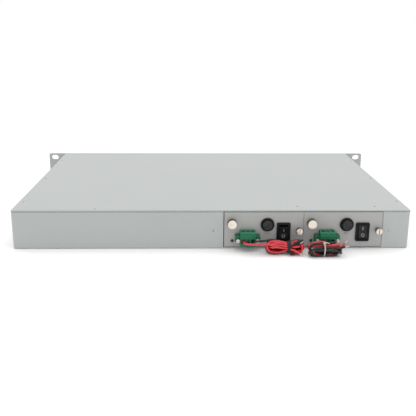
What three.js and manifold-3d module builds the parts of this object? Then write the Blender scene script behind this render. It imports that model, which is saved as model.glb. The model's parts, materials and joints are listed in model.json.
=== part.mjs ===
// A one-unit 19-inch rackmount power unit with two plug-in power modules in its rear wall.
// Millimetres. +Z is up, -Y is the rear side with the modules, +Y the front side with the rack ears.
// The origin is the centre of the chassis's underside.
import * as THREE from "three";
import { mergeVertices } from "three/addons/utils/BufferGeometryUtils.js";
import Module from "manifold-3d";

const wasm = await Module();
wasm.setup();

// ---------------------------------------------------------------- driving dimensions

const gap = 0.3; // between neighbouring solids
const unitHeight = 43.7;
const rackWidth = 482.6;
const bodyWidth = 432;
const bodyDepth = 310;
const sheet = 1.5;
const thinSheet = 1;
const frontPlate = 3;
const earRelief = 0.2;

const halfWidth = bodyWidth / 2;
const rear = -bodyDepth / 2;
const front = bodyDepth / 2;
const trayTop = unitHeight - sheet - gap;
const flangeWidth = 13;
const lipDepth = 10;

const earSlot = { x: 232.55, z: 31.75 / 2, length: 10.3, width: 6.8 };
const coverScrew = { hole: 1.7, head: 3.3, sideX: 211, sideY: [34.5, 145, 255] };

const bay = { left: 12.6, right: 186.8 };
const moduleLeft = { b: 13.5, a: 100.1 };
const module = { width: 86.3, low: 2.1, high: 41.4, depth: 150, trayLeft: 2.3, trayRight: 76 };
const railHeight = 38.4;
const backplaneY = rear + 161.3;
const captiveFlange = 8; // how far behind the rear face the captive screws' flanges stand

// places on a module's faceplate, from its left edge and from the underside
const knobAt = { x: 8.3, z: 29.8 };
const lampAt = { x: 8.8, z: 8.9 };
const terminalAt = { x: 25.2, z: 12 };
const fuseAt = { x: 47, z: 27.6 };
const switchAt = { x: 64.6, z: 19.2 };
const screwAt = { x: 81.4, z: 21.5 };

const pitch = 5.08; // between the poles of a terminal
const rockerTilt = THREE.MathUtils.degToRad(10);
const rockerPivot = 1; // behind the faceplate's outer face
const wire = 2.4; // outer diameter of a lead
const boardTop = 8.1; // a converter board's upper face
const controlTop = 9.6; // the control board's upper face

// ---------------------------------------------------------------- finishes

const finishes = {
  paint: [0xcdd0ce, 0.55, 0.1],
  plate: [0xc6c8c5, 0.5, 0.15],
  zinc: [0xb4b6b8, 0.4, 0.8],
  nickel: [0xd8cfc6, 0.3, 0.9],
  terminalGreen: [0x2f9467, 0.5, 0],
  darkLens: [0x26362c, 0.3, 0],
  black: [0x17181a, 0.5, 0],
  fuseGlass: [0xd9dcda, 0.2, 0.3],
  board: [0x1d5a3a, 0.6, 0],
  socket: [0xe6e2d6, 0.6, 0],
  ferrite: [0x3a3634, 0.7, 0.1],
  sleeve: [0x2a3350, 0.5, 0],
  aluminium: [0xaeb2b5, 0.4, 0.9],
  wrap: [0x3f62a5, 0.4, 0],
  redWire: [0xc81e2c, 0.4, 0],
  blackWire: [0x161616, 0.4, 0],
  lens: [0xdfe8e2, 0.2, 0],
};

function part(name, finish, geometry) {
  const [color, roughness, metalness] = finishes[finish];
  const mesh = new THREE.Mesh(
    geometry,
    new THREE.MeshStandardMaterial({ color, roughness, metalness }),
  );
  mesh.name = name;
  return mesh;
}

// ---------------------------------------------------------------- solids

function toSolid(geometry) {
  const bare = geometry.clone();
  bare.deleteAttribute("normal");
  bare.deleteAttribute("uv");
  const merged = mergeVertices(bare, 1e-4);
  return new wasm.Manifold(
    new wasm.Mesh({
      numProp: 3,
      vertProperties: merged.attributes.position.array,
      triVerts: new Uint32Array(merged.index.array),
    }),
  );
}

function toGeometry(solid) {
  const { vertProperties, triVerts } = solid.getMesh();
  const geometry = new THREE.BufferGeometry();
  geometry.setAttribute("position", new THREE.BufferAttribute(vertProperties, 3));
  geometry.setIndex(new THREE.BufferAttribute(triVerts, 1));
  return geometry;
}

function join(...pieces) {
  return toGeometry(pieces.map(toSolid).reduce((whole, piece) => whole.add(piece)));
}

function cut(base, ...tools) {
  return toGeometry(tools.map(toSolid).reduce((left, tool) => left.subtract(tool), toSolid(base)));
}

// A block between two corners, given as its ranges in X, Y and Z.
function block([x0, x1], [y0, y1], [z0, z1]) {
  const box = new THREE.BoxGeometry(x1 - x0, y1 - y0, z1 - z0);
  return box.translate((x0 + x1) / 2, (y0 + y1) / 2, (z0 + z1) / 2);
}

// A cylinder along Y, between two places on it.
function rodY(radius, [y0, y1], x, z, sides = 16) {
  const rod = new THREE.CylinderGeometry(radius, radius, y1 - y0, sides);
  return rod.translate(x, (y0 + y1) / 2, z);
}

// A cylinder along Z.
function rodZ(radius, [z0, z1], x, y, sides = 12) {
  const rod = new THREE.CylinderGeometry(radius, radius, z1 - z0, sides);
  return rod.rotateX(Math.PI / 2).translate(x, y, (z0 + z1) / 2);
}

// A turned piece about an axis along Y: its profile runs from low y to high y as [radius, y].
function turned(profile, x, z, sides = 16) {
  const points = profile.map(([radius, y]) => new THREE.Vector2(radius, y));
  return new THREE.LatheGeometry(points, sides).translate(x, 0, z);
}

function outline(points) {
  return new THREE.Shape(points.map(([u, v]) => new THREE.Vector2(u, v)));
}

// A section in X and Z, extruded along Y.
function prismY(shape, [y0, y1], curveSegments = 5) {
  const prism = new THREE.ExtrudeGeometry(shape, {
    depth: y1 - y0,
    bevelEnabled: false,
    curveSegments,
  });
  return prism.rotateX(Math.PI / 2).translate(0, y1, 0);
}

// A section in Y and Z, extruded along X.
function prismX(shape, [x0, x1]) {
  const prism = new THREE.ExtrudeGeometry(shape, { depth: x1 - x0, bevelEnabled: false });
  const toWorld = new THREE.Matrix4().makeBasis(
    new THREE.Vector3(0, 1, 0),
    new THREE.Vector3(0, 0, 1),
    new THREE.Vector3(1, 0, 0),
  );
  return prism.applyMatrix4(toWorld).translate(x0, 0, 0);
}

// A slot with round ends, as a path around its centre.
function slotPath(x, z, length, width, upright = false) {
  const radius = width / 2;
  const reach = length / 2 - radius;
  const path = new THREE.Path();
  if (upright) {
    path.absarc(x, z + reach, radius, 0, Math.PI);
    path.absarc(x, z - reach, radius, Math.PI, 2 * Math.PI);
  } else {
    path.absarc(x + reach, z, radius, -Math.PI / 2, Math.PI / 2);
    path.absarc(x - reach, z, radius, Math.PI / 2, (3 * Math.PI) / 2);
  }
  path.closePath();
  return path;
}

// Evenly spaced places, the first one given.
function row(count, first, step) {
  return Array.from({ length: count }, (_, i) => first + i * step);
}

// ---------------------------------------------------------------- chassis

function coverScrewPlaces() {
  const sides = coverScrew.sideY.flatMap((y) => [
    [-coverScrew.sideX, rear + y],
    [coverScrew.sideX, rear + y],
  ]);
  const rearEdge = [
    [-127, rear + 5],
    [94.8, rear + 14.5],
    [180.4, rear + 14.5],
  ];
  return [...sides, ...rearEdge];
}

// One folded sheet: a floor, four walls and the flanges that the cover and the front plate sit on.
function chassisTray() {
  const end = front - gap;
  const inner = halfWidth - flangeWidth;
  const past = [end - 2 * sheet, end + 1];
  const blank = block([-halfWidth, halfWidth], [rear, end], [0, trayTop]);
  const inside = block(
    [sheet - halfWidth, halfWidth - sheet],
    [rear + sheet, end - sheet],
    [sheet, trayTop - sheet],
  );
  const topMouth = block([-inner, inner], [rear + 12, end + 1], [trayTop - 2 * sheet, trayTop + 1]);
  const frontMouth = block([-inner, inner], past, [sheet, trayTop + 1]);
  const bayMouth = block([bay.left, bay.right], [rear - 1, rear + 13], [sheet, trayTop + 1]);
  const vents = row(12, rear + 20, 9).flatMap((y) =>
    [-1, 1].map((side) => {
      const x = side * (halfWidth - sheet / 2);
      return block([x - sheet, x + sheet], [y, y + 3], [12, 32]);
    }),
  );
  const threads = coverScrewPlaces()
    .filter(([x, y]) => !(x > bay.left && x < bay.right && y < 0))
    .map(([x, y]) => rodZ(1.3, [trayTop - 2 * sheet, trayTop + 1], x, y, 8));
  const pillars = [-20, 90, 195].flatMap((x) =>
    [35, 135].map((y) => rodZ(2.5, [sheet / 2, controlTop - 1.6 - gap], x, y)),
  );
  const folded = cut(blank, inside, topMouth, frontMouth, bayMouth, ...vents, ...threads);
  return join(folded, ...pillars);
}

function topCover() {
  const low = unitHeight - sheet;
  const plate = block([-halfWidth, halfWidth], [rear, front - lipDepth - gap], [low, unitHeight]);
  const holes = coverScrewPlaces().flatMap(([x, y]) => {
    const sink = new THREE.CylinderGeometry(coverScrew.head, coverScrew.hole, sheet, 12);
    return [
      rodZ(coverScrew.hole, [low - 1, unitHeight + 1], x, y),
      sink.rotateX(Math.PI / 2).translate(x, y, unitHeight - sheet / 2 + 0.2),
    ];
  });
  return cut(plate, ...holes);
}

function frontPanel() {
  const half = rackWidth / 2;
  const corner = 2.5;
  const shape = new THREE.Shape();
  shape.absarc(half - corner, corner, corner, -Math.PI / 2, 0);
  shape.absarc(half - corner, unitHeight - corner, corner, 0, Math.PI / 2);
  shape.absarc(-half + corner, unitHeight - corner, corner, Math.PI / 2, Math.PI);
  shape.absarc(-half + corner, corner, corner, Math.PI, (3 * Math.PI) / 2);
  const middle = unitHeight / 2;
  for (const x of [-earSlot.x, earSlot.x]) {
    for (const z of [middle - earSlot.z, middle + earSlot.z]) {
      shape.holes.push(slotPath(x, z, earSlot.length, earSlot.width));
    }
  }
  for (const x of row(12, -186, 10)) shape.holes.push(slotPath(x, middle, 24, 3.2, true));
  const plate = prismY(shape, [front, front + frontPlate], 3);
  const lip = block(
    [-halfWidth, halfWidth],
    [front - lipDepth, front + 1],
    [unitHeight - sheet, unitHeight],
  );
  const lamps = lightPlaces().map((x) =>
    rodY(1.7, [front - 1, front + frontPlate + 1], x, lightHeight, 10),
  );
  // Between the ears the plate's back stands a little forward, so that only the ears meet the rack.
  const relief = block(
    [-halfWidth - gap, halfWidth + gap],
    [front - 1, front + earRelief],
    [-1, unitHeight - sheet],
  );
  return cut(
    join(plate, lip),
    relief,
    ...lamps,
    block([9.7, 26.3], [front - 1, front + frontPlate + 1], [9.6, 23.8]),
  );
}

const lightHeight = 18;

function lightPlaces() {
  return row(5, 62, 9);
}

function statusLightBar() {
  const bar = block([56, 104], [front - 8, front - gap], [controlTop + gap, lightHeight + 3]);
  const lenses = lightPlaces().map((x) => rodY(1.4, [front - 1, front + frontPlate + 0.6], x, lightHeight, 10));
  return join(bar, ...lenses);
}

function serviceJack() {
  const body = block([10, 26], [front - 16, front + frontPlate], [controlTop + gap, 23.4]);
  const socket = block([12.1, 23.9], [front - 9, front + frontPlate + 1], [12.4, 20.4]);
  const latch = block([15, 21], [front - 9, front + frontPlate + 1], [20, 22.2]);
  return cut(body, socket, latch);
}

// A strip under the cover, over the mouth of the module bay, with a stiffening lip.
function rearTopRail() {
  const across = [bay.left + 1, bay.right - 1];
  const strip = join(
    block(across, [rear + 8, rear + 22], [trayTop - sheet, trayTop]),
    block(across, [rear + 20.5, rear + 22], [trayTop - 3.2, trayTop]),
  );
  const threads = [94.8, 180.4].map((x) => rodZ(1.3, [trayTop - 4, trayTop + 1], x, rear + 14.5, 8));
  return cut(strip, ...threads);
}

// An upright sheet beside a module, with a foot and, where a captive screw goes, a threaded flange.
function guide(x, footSide, screwX) {
  const length = [rear + sheet + gap, backplaneY - gap];
  const floor = sheet + gap;
  const foot = [Math.min(x, x + footSide * 9.4), Math.max(x, x + footSide * 9.4)];
  const wall = [Math.min(x, x - footSide * thinSheet), Math.max(x, x - footSide * thinSheet)];
  const sides = [block(wall, length, [floor, railHeight])];
  sides.push(block([foot[0], Math.max(foot[1], wall[1])], [length[0] + 12, length[1] - 12], [floor, floor + thinSheet]));
  if (screwX === undefined) return join(...sides);
  const y0 = rear + captiveFlange;
  sides.push(block([screwX - 4.9, wall[1]], [y0, y0 + 1.2], [floor, railHeight]));
  return cut(join(...sides), rodY(1.75, [y0 - 1, y0 + 3], screwX, screwAt.z, 12));
}

function backplane() {
  const board = [backplaneY, backplaneY + 1.6];
  return block([14, 186], board, [3, 38]);
}

function backplaneSocket(x) {
  const y0 = rear + 151;
  const y1 = backplaneY - gap;
  return cut(
    block([x - 19, x + 19], [y0, y1], [8.4, 19.4]),
    block([x - 16.4, x + 16.4], [y0 - 1, y0 + 5.5], [10.6, 17.2]),
  );
}

function finned(width, [y0, y1], base, height, fins, centre) {
  const spacing = (width - 1.4) / (fins - 1);
  const first = centre - width / 2;
  const blades = row(fins, first, spacing).map((x) => block([x, x + 1.4], [y0, y1], [base, base + height]));
  return join(block([first, first + width], [y0, y1], [base, base + 3]), ...blades);
}

// Eight round cells side by side in a shrink wrap.
function batteryPack([y0, y1]) {
  const cell = 9.3;
  const count = 8;
  const left = -200;
  const middle = 12.6;
  const bulge = Math.PI / 3;
  const shape = new THREE.Shape();
  for (const x of row(count, left + cell, 2 * cell)) {
    shape.absarc(x, middle, cell, Math.PI / 2 + bulge, Math.PI / 2 - bulge, true);
  }
  for (const x of row(count, left + cell, 2 * cell).reverse()) {
    shape.absarc(x, middle, cell, bulge - Math.PI / 2, -bulge - Math.PI / 2, true);
  }
  return prismY(shape, [y0, y1], 3);
}

function batteryBracket() {
  const [left, right] = [-205, -46.6];
  const along = [-22, 12];
  const over = 22.3;
  const floor = sheet + gap;
  return join(
    block([left, right], along, [over, over + 1.2]),
    block([left, left + 1.2], along, [floor, over + 1]),
    block([right - 1.2, right], along, [floor, over + 1]),
    block([left - 7, left + 1], along, [floor, floor + 1.2]),
    block([right - 1, right + 7], along, [floor, floor + 1.2]),
  );
}

// A tube of round section along a smooth line through the points.
function tube(points, diameter, steps) {
  const line = new THREE.CatmullRomCurve3(points.map(([x, y, z]) => new THREE.Vector3(x, y, z)));
  const section = new THREE.Shape();
  section.absarc(0, 0, diameter / 2, 0, 2 * Math.PI);
  return new THREE.ExtrudeGeometry(section, { extrudePath: line, steps, curveSegments: 8 });
}

function batteryHarness() {
  const cable = tube(
    [
      [-50.4, 60, 12],
      [-44, 60, 12.2],
      [-36, 60, 13.6],
      [-22, 60, 13.8],
    ],
    4.5,
    8,
  );
  return join(cable, block([-24, -11], [53, 67], [controlTop + gap, controlTop + 8]));
}

function chassis() {
  const group = new THREE.Group();
  group.add(
    part("chassis_tray", "paint", chassisTray()),
    part("top_cover", "paint", topCover()),
    part("front_panel", "paint", frontPanel()),
    part("rear_top_rail", "zinc", rearTopRail()),
    part("left_guide_rail", "zinc", guide(bay.left - 1.4, -1)),
    part("bay_divider", "zinc", guide(99.4, -1, moduleLeft.b + screwAt.x)),
    part("right_guide_rail", "zinc", guide(bay.right, -1, moduleLeft.a + screwAt.x)),
    part("backplane_board", "board", backplane()),
    part("control_board", "board", block([-30, 204], [22, 146], [controlTop - 1.6, controlTop])),
    part("charger_heatsink", "aluminium", finned(60, [60, 110], controlTop + gap, 24, 9, 160)),
    part(
      "charger_inductor",
      "ferrite",
      cut(rodZ(14, [controlTop + gap, 23], 60, 85, 20), rodZ(6, [0, 30], 60, 85, 16)),
    ),
    part("bus_capacitor", "sleeve", rodZ(12.5, [controlTop + gap, 38], 15, 90, 20)),
    part("battery_pack_rear", "wrap", batteryPack([rear + 15, -6])),
    part("battery_pack_front", "wrap", batteryPack([-5, 130])),
    part("battery_bracket", "zinc", batteryBracket()),
    part("battery_harness", "redWire", batteryHarness()),
    part("status_light_bar", "lens", statusLightBar()),
    part("service_jack", "black", serviceJack()),
  );
  for (const letter of ["a", "b"]) {
    const x = moduleLeft[letter] + 39;
    group.add(part(`backplane_socket_${letter}`, "socket", backplaneSocket(x)));
  }
  return group;
}

// ---------------------------------------------------------------- power module
// In a module's own frame x is 0 at the faceplate's left edge and y is 0 at its outer face.

function moduleTray() {
  const { width, low, high, depth, trayLeft, trayRight } = module;
  const deep = [0, depth];
  const wallHeight = 24;
  const pillars = [
    [12, 20],
    [12, 130],
    [68, 20],
    [68, 130],
  ].map(([x, y]) => rodZ(2.4, [low, boardTop - 1.6 - gap], x, y));
  const shell = join(
    block([0, width], [0, sheet], [low, high]),
    block([trayLeft, trayRight], deep, [low, low + thinSheet]),
    block([trayLeft, trayLeft + thinSheet], deep, [low, wallHeight]),
    block([trayRight - thinSheet, trayRight], deep, [low, wallHeight]),
    ...pillars,
  );
  const through = [-1, sheet + 1];
  return cut(
    shell,
    block([terminalAt.x - 13.3, terminalAt.x + 13.3], through, [8, 17]),
    block([switchAt.x - 6.8, switchAt.x + 6.8], through, [switchAt.z - 9.7, switchAt.z + 9.7]),
    rodY(6.3, through, fuseAt.x, fuseAt.z, 20),
    rodY(1.8, through, lampAt.x, lampAt.z, 10),
    rodY(1.7, through, knobAt.x, knobAt.z, 10),
    rodY(1.8, through, screwAt.x, screwAt.z, 12),
  );
}

function terminalHeader() {
  const { x } = terminalAt;
  return cut(
    block([x - 12.9, x + 12.9], [-0.8, 12], [8.4, 16.6]),
    block([x - 8.4, x + 8.4], [-2, 8.5], [9.3, 15.7]),
  );
}

// The plug's stepped section, its three clamp pockets and the ears that hold its two screws.
function terminalPlug() {
  const { x, z } = terminalAt;
  const half = 8.3;
  const section = outline([
    [-12.5, 6.5],
    [-1.1, 6.5],
    [-1.1, 22],
    [-8.6, 22],
    [-10.6, 20.2],
    [-10.6, 19],
    [-12.5, 18.4],
  ]);
  const ears = [-1, 1].flatMap((side) => {
    const centre = x + side * 10.6;
    return [
      block([centre - 2.75, centre + 2.75], [-8.5, -1.1], [z, 17.2]),
      rodY(2.75, [-8.5, -1.1], centre, z, 12),
    ];
  });
  const tongue = block([x - 8, x + 8], [-2, 8], [9.7, 15.3]);
  const body = join(prismX(section, [x - half, x + half]), ...ears, tongue);
  const poles = [x - pitch, x, x + pitch];
  return cut(
    body,
    ...poles.map((pole) => block([pole - 2, pole + 2], [-13, -9.5], [z - 2.4, z + 2.4])),
    ...poles.map((pole) => rodZ(1.9, [18.5, 23], pole, -7, 10)),
  );
}

function fuseHolder() {
  const shell = turned(
    [
      [0, -2.4],
      [7.5, -2.4],
      [7.5, -gap],
      [5.9, -gap],
      [5.9, 30],
      [0, 30],
    ],
    fuseAt.x,
    fuseAt.z,
    20,
  );
  return cut(shell, rodY(4.1, [-4, 27], fuseAt.x, fuseAt.z));
}

function fuseCap() {
  const cap = turned(
    [
      [0, -5],
      [4.8, -5],
      [5.5, -4.4],
      [5.5, -2.7],
      [3.8, -2.7],
      [3.8, 4],
      [0, 4],
    ],
    fuseAt.x,
    fuseAt.z,
  );
  return cut(cap, block([fuseAt.x - 4, fuseAt.x + 4], [-6, -3.8], [fuseAt.z - 0.6, fuseAt.z + 0.6]));
}

function fuseLink() {
  const [y0, y1, end] = [4.3, 24.3, 5];
  return turned(
    [
      [0, y0],
      [2.6, y0],
      [2.6, y0 + end],
      [2.3, y0 + end],
      [2.3, y1 - end],
      [2.6, y1 - end],
      [2.6, y1],
      [0, y1],
    ],
    fuseAt.x,
    fuseAt.z,
    12,
  );
}

function switchHousing() {
  const { x, z } = switchAt;
  const blades = [-6, 0, 6].map((dz) => block([x - 2.4, x + 2.4], [12, 20], [z + dz - 0.4, z + dz + 0.4]));
  return cut(
    join(
      block([x - 7.5, x + 7.5], [-2, -gap], [z - 10.5, z + 10.5]),
      block([x - 6.4, x + 6.4], [-1, 13], [z - 9.3, z + 9.3]),
      ...blades,
    ),
    block([x - 5.1, x + 5.1], [-3, 6], [z - 8.3, z + 8.3]),
  );
}

// The paddle, drawn level about its pivot; a tilt turns it to one of its two resting sides.
function switchRocker() {
  const section = outline([
    [-5.1, -7.2],
    [-1.8, -7.1],
    [1.4, -3.2],
    [1.4, 3.2],
    [-1.8, 7.1],
    [-5.1, 7.2],
    [-3.4, 0],
  ]);
  return prismX(section, [-4.7, 4.7]);
}

function statusLamp() {
  return turned(
    [
      [0, -1.8],
      [1, -1.5],
      [1.4, -gap],
      [1.4, 3.6],
      [0, 3.6],
    ],
    lampAt.x,
    lampAt.z,
    10,
  );
}

function pullKnob() {
  return turned(
    [
      [0, -9],
      [4.4, -9],
      [5, -8.4],
      [5, -2.2],
      [3.4, -1.4],
      [3.4, -gap],
      [1.4, -gap],
      [1.4, 4],
      [0, 4],
    ],
    knobAt.x,
    knobAt.z,
    20,
  );
}

function captiveScrew() {
  const screw = turned(
    [
      [0, -8.2],
      [3.1, -8.2],
      [3.6, -7.7],
      [3.6, -3],
      [2.6, -2.6],
      [2.6, -gap],
      [1.45, -gap],
      [1.45, 12.5],
      [0, 12.5],
    ],
    screwAt.x,
    screwAt.z,
  );
  return cut(screw, block([screwAt.x - 0.5, screwAt.x + 0.5], [-9, -6.8], [screwAt.z - 4, screwAt.z + 4]));
}

function captiveRing() {
  const { x, z } = screwAt;
  return cut(rodY(2.9, [6.4, 7.2], x, z, 14), rodY(1.75, [6, 8], x, z, 12));
}

function edgePlug() {
  const x = 39;
  return join(
    block([x - 19, x + 19], [138, 148], [boardTop + gap, 19.4]),
    block([x - 16, x + 16], [147, 155.5], [11, 16.8]),
  );
}

// A ferrite core round a wound bobbin.
function transformer() {
  const [x, y] = [24, 62];
  const low = boardTop + gap;
  return join(
    block([x - 15, x + 15], [y - 5, y + 5], [low + 2, low + 24]),
    rodZ(11, [low + 4, low + 22], x, y, 16),
    block([x - 13, x + 13], [y - 13, y + 13], [low, low + 3]),
  );
}

function powerModule(letter, tilt) {
  const group = new THREE.Group();
  group.position.set(moduleLeft[letter], rear, 0);
  const named = (name, finish, geometry) => part(`${name}_${letter}`, finish, geometry);
  const rocker = named("switch_rocker", "black", switchRocker());
  rocker.position.set(switchAt.x, rockerPivot, switchAt.z);
  rocker.rotation.x = tilt;
  group.add(
    named("module_tray", "plate", moduleTray()),
    named("converter_board", "board", block([6, 72.5], [4, 143], [boardTop - 1.6, boardTop])),
    named("edge_plug", "socket", edgePlug()),
    named("transformer", "ferrite", transformer()),
    named("input_capacitor", "sleeve", rodZ(8, [boardTop + gap, 34], 58, 52, 16)),
    named("heatsink", "aluminium", finned(30, [88, 128], boardTop + gap, 22, 6, 26)),
    named("terminal_header", "terminalGreen", terminalHeader()),
    named("terminal_plug", "terminalGreen", terminalPlug()),
    named("fuse_holder", "black", fuseHolder()),
    named("fuse_cap", "black", fuseCap()),
    named("fuse_link", "fuseGlass", fuseLink()),
    named("switch_housing", "black", switchHousing()),
    rocker,
    named("status_lamp", "darkLens", statusLamp()),
    named("pull_knob", "nickel", pullKnob()),
    named("captive_screw", "nickel", captiveScrew()),
    named("captive_ring", "zinc", captiveRing()),
  );
  return group;
}

// ---------------------------------------------------------------- leads
// Each module's red and black lead leave its plug and lie folded in a hank before its faceplate.
// y is 0 at the rear wall's outer face, as on a module; x is the unit's own.

const leadStart = -9.8; // inside the plug's clamp pockets

const leadRoutes = {
  red_lead_b: [
    [33.6, leadStart, 12],
    [33.6, -15, 12],
    [34.6, -18.6, 12],
    [37.6, -21, 12],
    [42.5, -21.6, 12],
    [48.5, -21.4, 11.9],
    [57.1, -20.4, 11.6],
  ],
  black_lead_b: [
    [43.8, leadStart, 12],
    [43.8, -13.2, 12.3],
    [44.8, -16, 13.2],
    [47.6, -17.8, 14.2],
    [51.4, -18.2, 14.7],
    [56.3, -17.6, 14.7],
  ],
  red_lead_a: [
    [120.2, leadStart, 12],
    [120.2, -13, 12.4],
    [119.9, -16, 13.4],
    [118.4, -19, 14.1],
    [115.4, -21, 14.3],
    [111, -21.8, 14.2],
    [106.5, -21.8, 14],
  ],
  black_lead_a: [
    [130.4, leadStart, 12],
    [130.4, -13, 12.4],
    [130.2, -16, 13.4],
    [129, -19.6, 14.1],
    [126.2, -22.6, 14.3],
    [121.5, -24.8, 14.2],
    [114, -25.4, 14.1],
    [106.5, -25.2, 14],
  ],
};

// The outer shape of one folded hank: a flat outline with round ends.
function hank([x0, x1], [y0, y1], [z0, z1]) {
  const radius = (y1 - y0) / 2;
  const middle = (y0 + y1) / 2;
  const shape = new THREE.Shape();
  shape.absarc(x1 - radius, middle, radius, -Math.PI / 2, Math.PI / 2);
  shape.absarc(x0 + radius, middle, radius, Math.PI / 2, (3 * Math.PI) / 2);
  const solid = new THREE.ExtrudeGeometry(shape, {
    depth: z1 - z0,
    bevelEnabled: false,
    curveSegments: 8,
  });
  return solid.translate(0, 0, z0);
}

function leads() {
  const group = new THREE.Group();
  group.position.set(0, rear, 0);
  for (const [name, points] of Object.entries(leadRoutes)) {
    const finish = name.startsWith("red") ? "redWire" : "blackWire";
    group.add(part(name, finish, tube(points, wire, 10)));
  }
  group.add(
    part("lead_hank_b", "redWire", hank([56.6, 98.8], [-26, -7.5], [gap, 15.8])),
    part("lead_hank_a", "redWire", hank([101.2, 138.6], [-32, -17.4], [gap, 12.2])),
  );
  return group;
}

// ---------------------------------------------------------------- the whole unit

const unit = new THREE.Group();
unit.add(chassis(), powerModule("b", rockerTilt), powerModule("a", -rockerTilt), leads());

export default unit;
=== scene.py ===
"""The looks of a one-unit rackmount power unit with two plug-in power modules in its rear wall.

Metres. +Z is up, -Y is the rear side with the modules, +Y the front side with the rack ears.
"""

import json
import logging
import math
from dataclasses import dataclass
from enum import Enum

import bpy
import numpy as np
from mathutils import Matrix, Vector

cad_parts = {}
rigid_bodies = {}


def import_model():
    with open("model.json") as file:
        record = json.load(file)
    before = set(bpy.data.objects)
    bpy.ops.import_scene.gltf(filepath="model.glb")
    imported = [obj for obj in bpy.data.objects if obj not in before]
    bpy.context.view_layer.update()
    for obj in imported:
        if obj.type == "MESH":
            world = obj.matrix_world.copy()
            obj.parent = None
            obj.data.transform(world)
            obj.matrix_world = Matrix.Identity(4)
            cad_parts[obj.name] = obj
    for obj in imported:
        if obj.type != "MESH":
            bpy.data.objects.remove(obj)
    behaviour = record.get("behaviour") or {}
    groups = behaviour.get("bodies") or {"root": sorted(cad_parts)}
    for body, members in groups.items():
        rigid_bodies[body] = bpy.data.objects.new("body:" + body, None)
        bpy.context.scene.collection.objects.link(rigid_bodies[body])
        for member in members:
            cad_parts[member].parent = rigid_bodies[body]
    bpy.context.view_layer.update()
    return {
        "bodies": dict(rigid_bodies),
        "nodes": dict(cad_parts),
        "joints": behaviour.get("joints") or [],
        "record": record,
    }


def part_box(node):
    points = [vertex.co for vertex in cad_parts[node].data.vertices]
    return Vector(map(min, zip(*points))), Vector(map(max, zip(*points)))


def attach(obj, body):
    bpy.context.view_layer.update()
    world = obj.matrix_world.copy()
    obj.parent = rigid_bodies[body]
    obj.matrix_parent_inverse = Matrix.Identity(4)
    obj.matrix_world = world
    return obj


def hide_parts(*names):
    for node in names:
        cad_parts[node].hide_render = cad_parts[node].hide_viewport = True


MM = 0.001
LOG = logging.getLogger("power_unit")
Point = tuple[float, float, float]


# ---------------------------------------------------------------- finishes


class Surface(Enum):
    """How a finish feels: the stretch of its grain along X, Y and Z."""

    EVEN = (1.0, 1.0, 1.0)
    BRUSHED_Y = (1.0, 0.04, 1.0)
    WRAPPED = (1.0, 1.0, 0.15)


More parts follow.
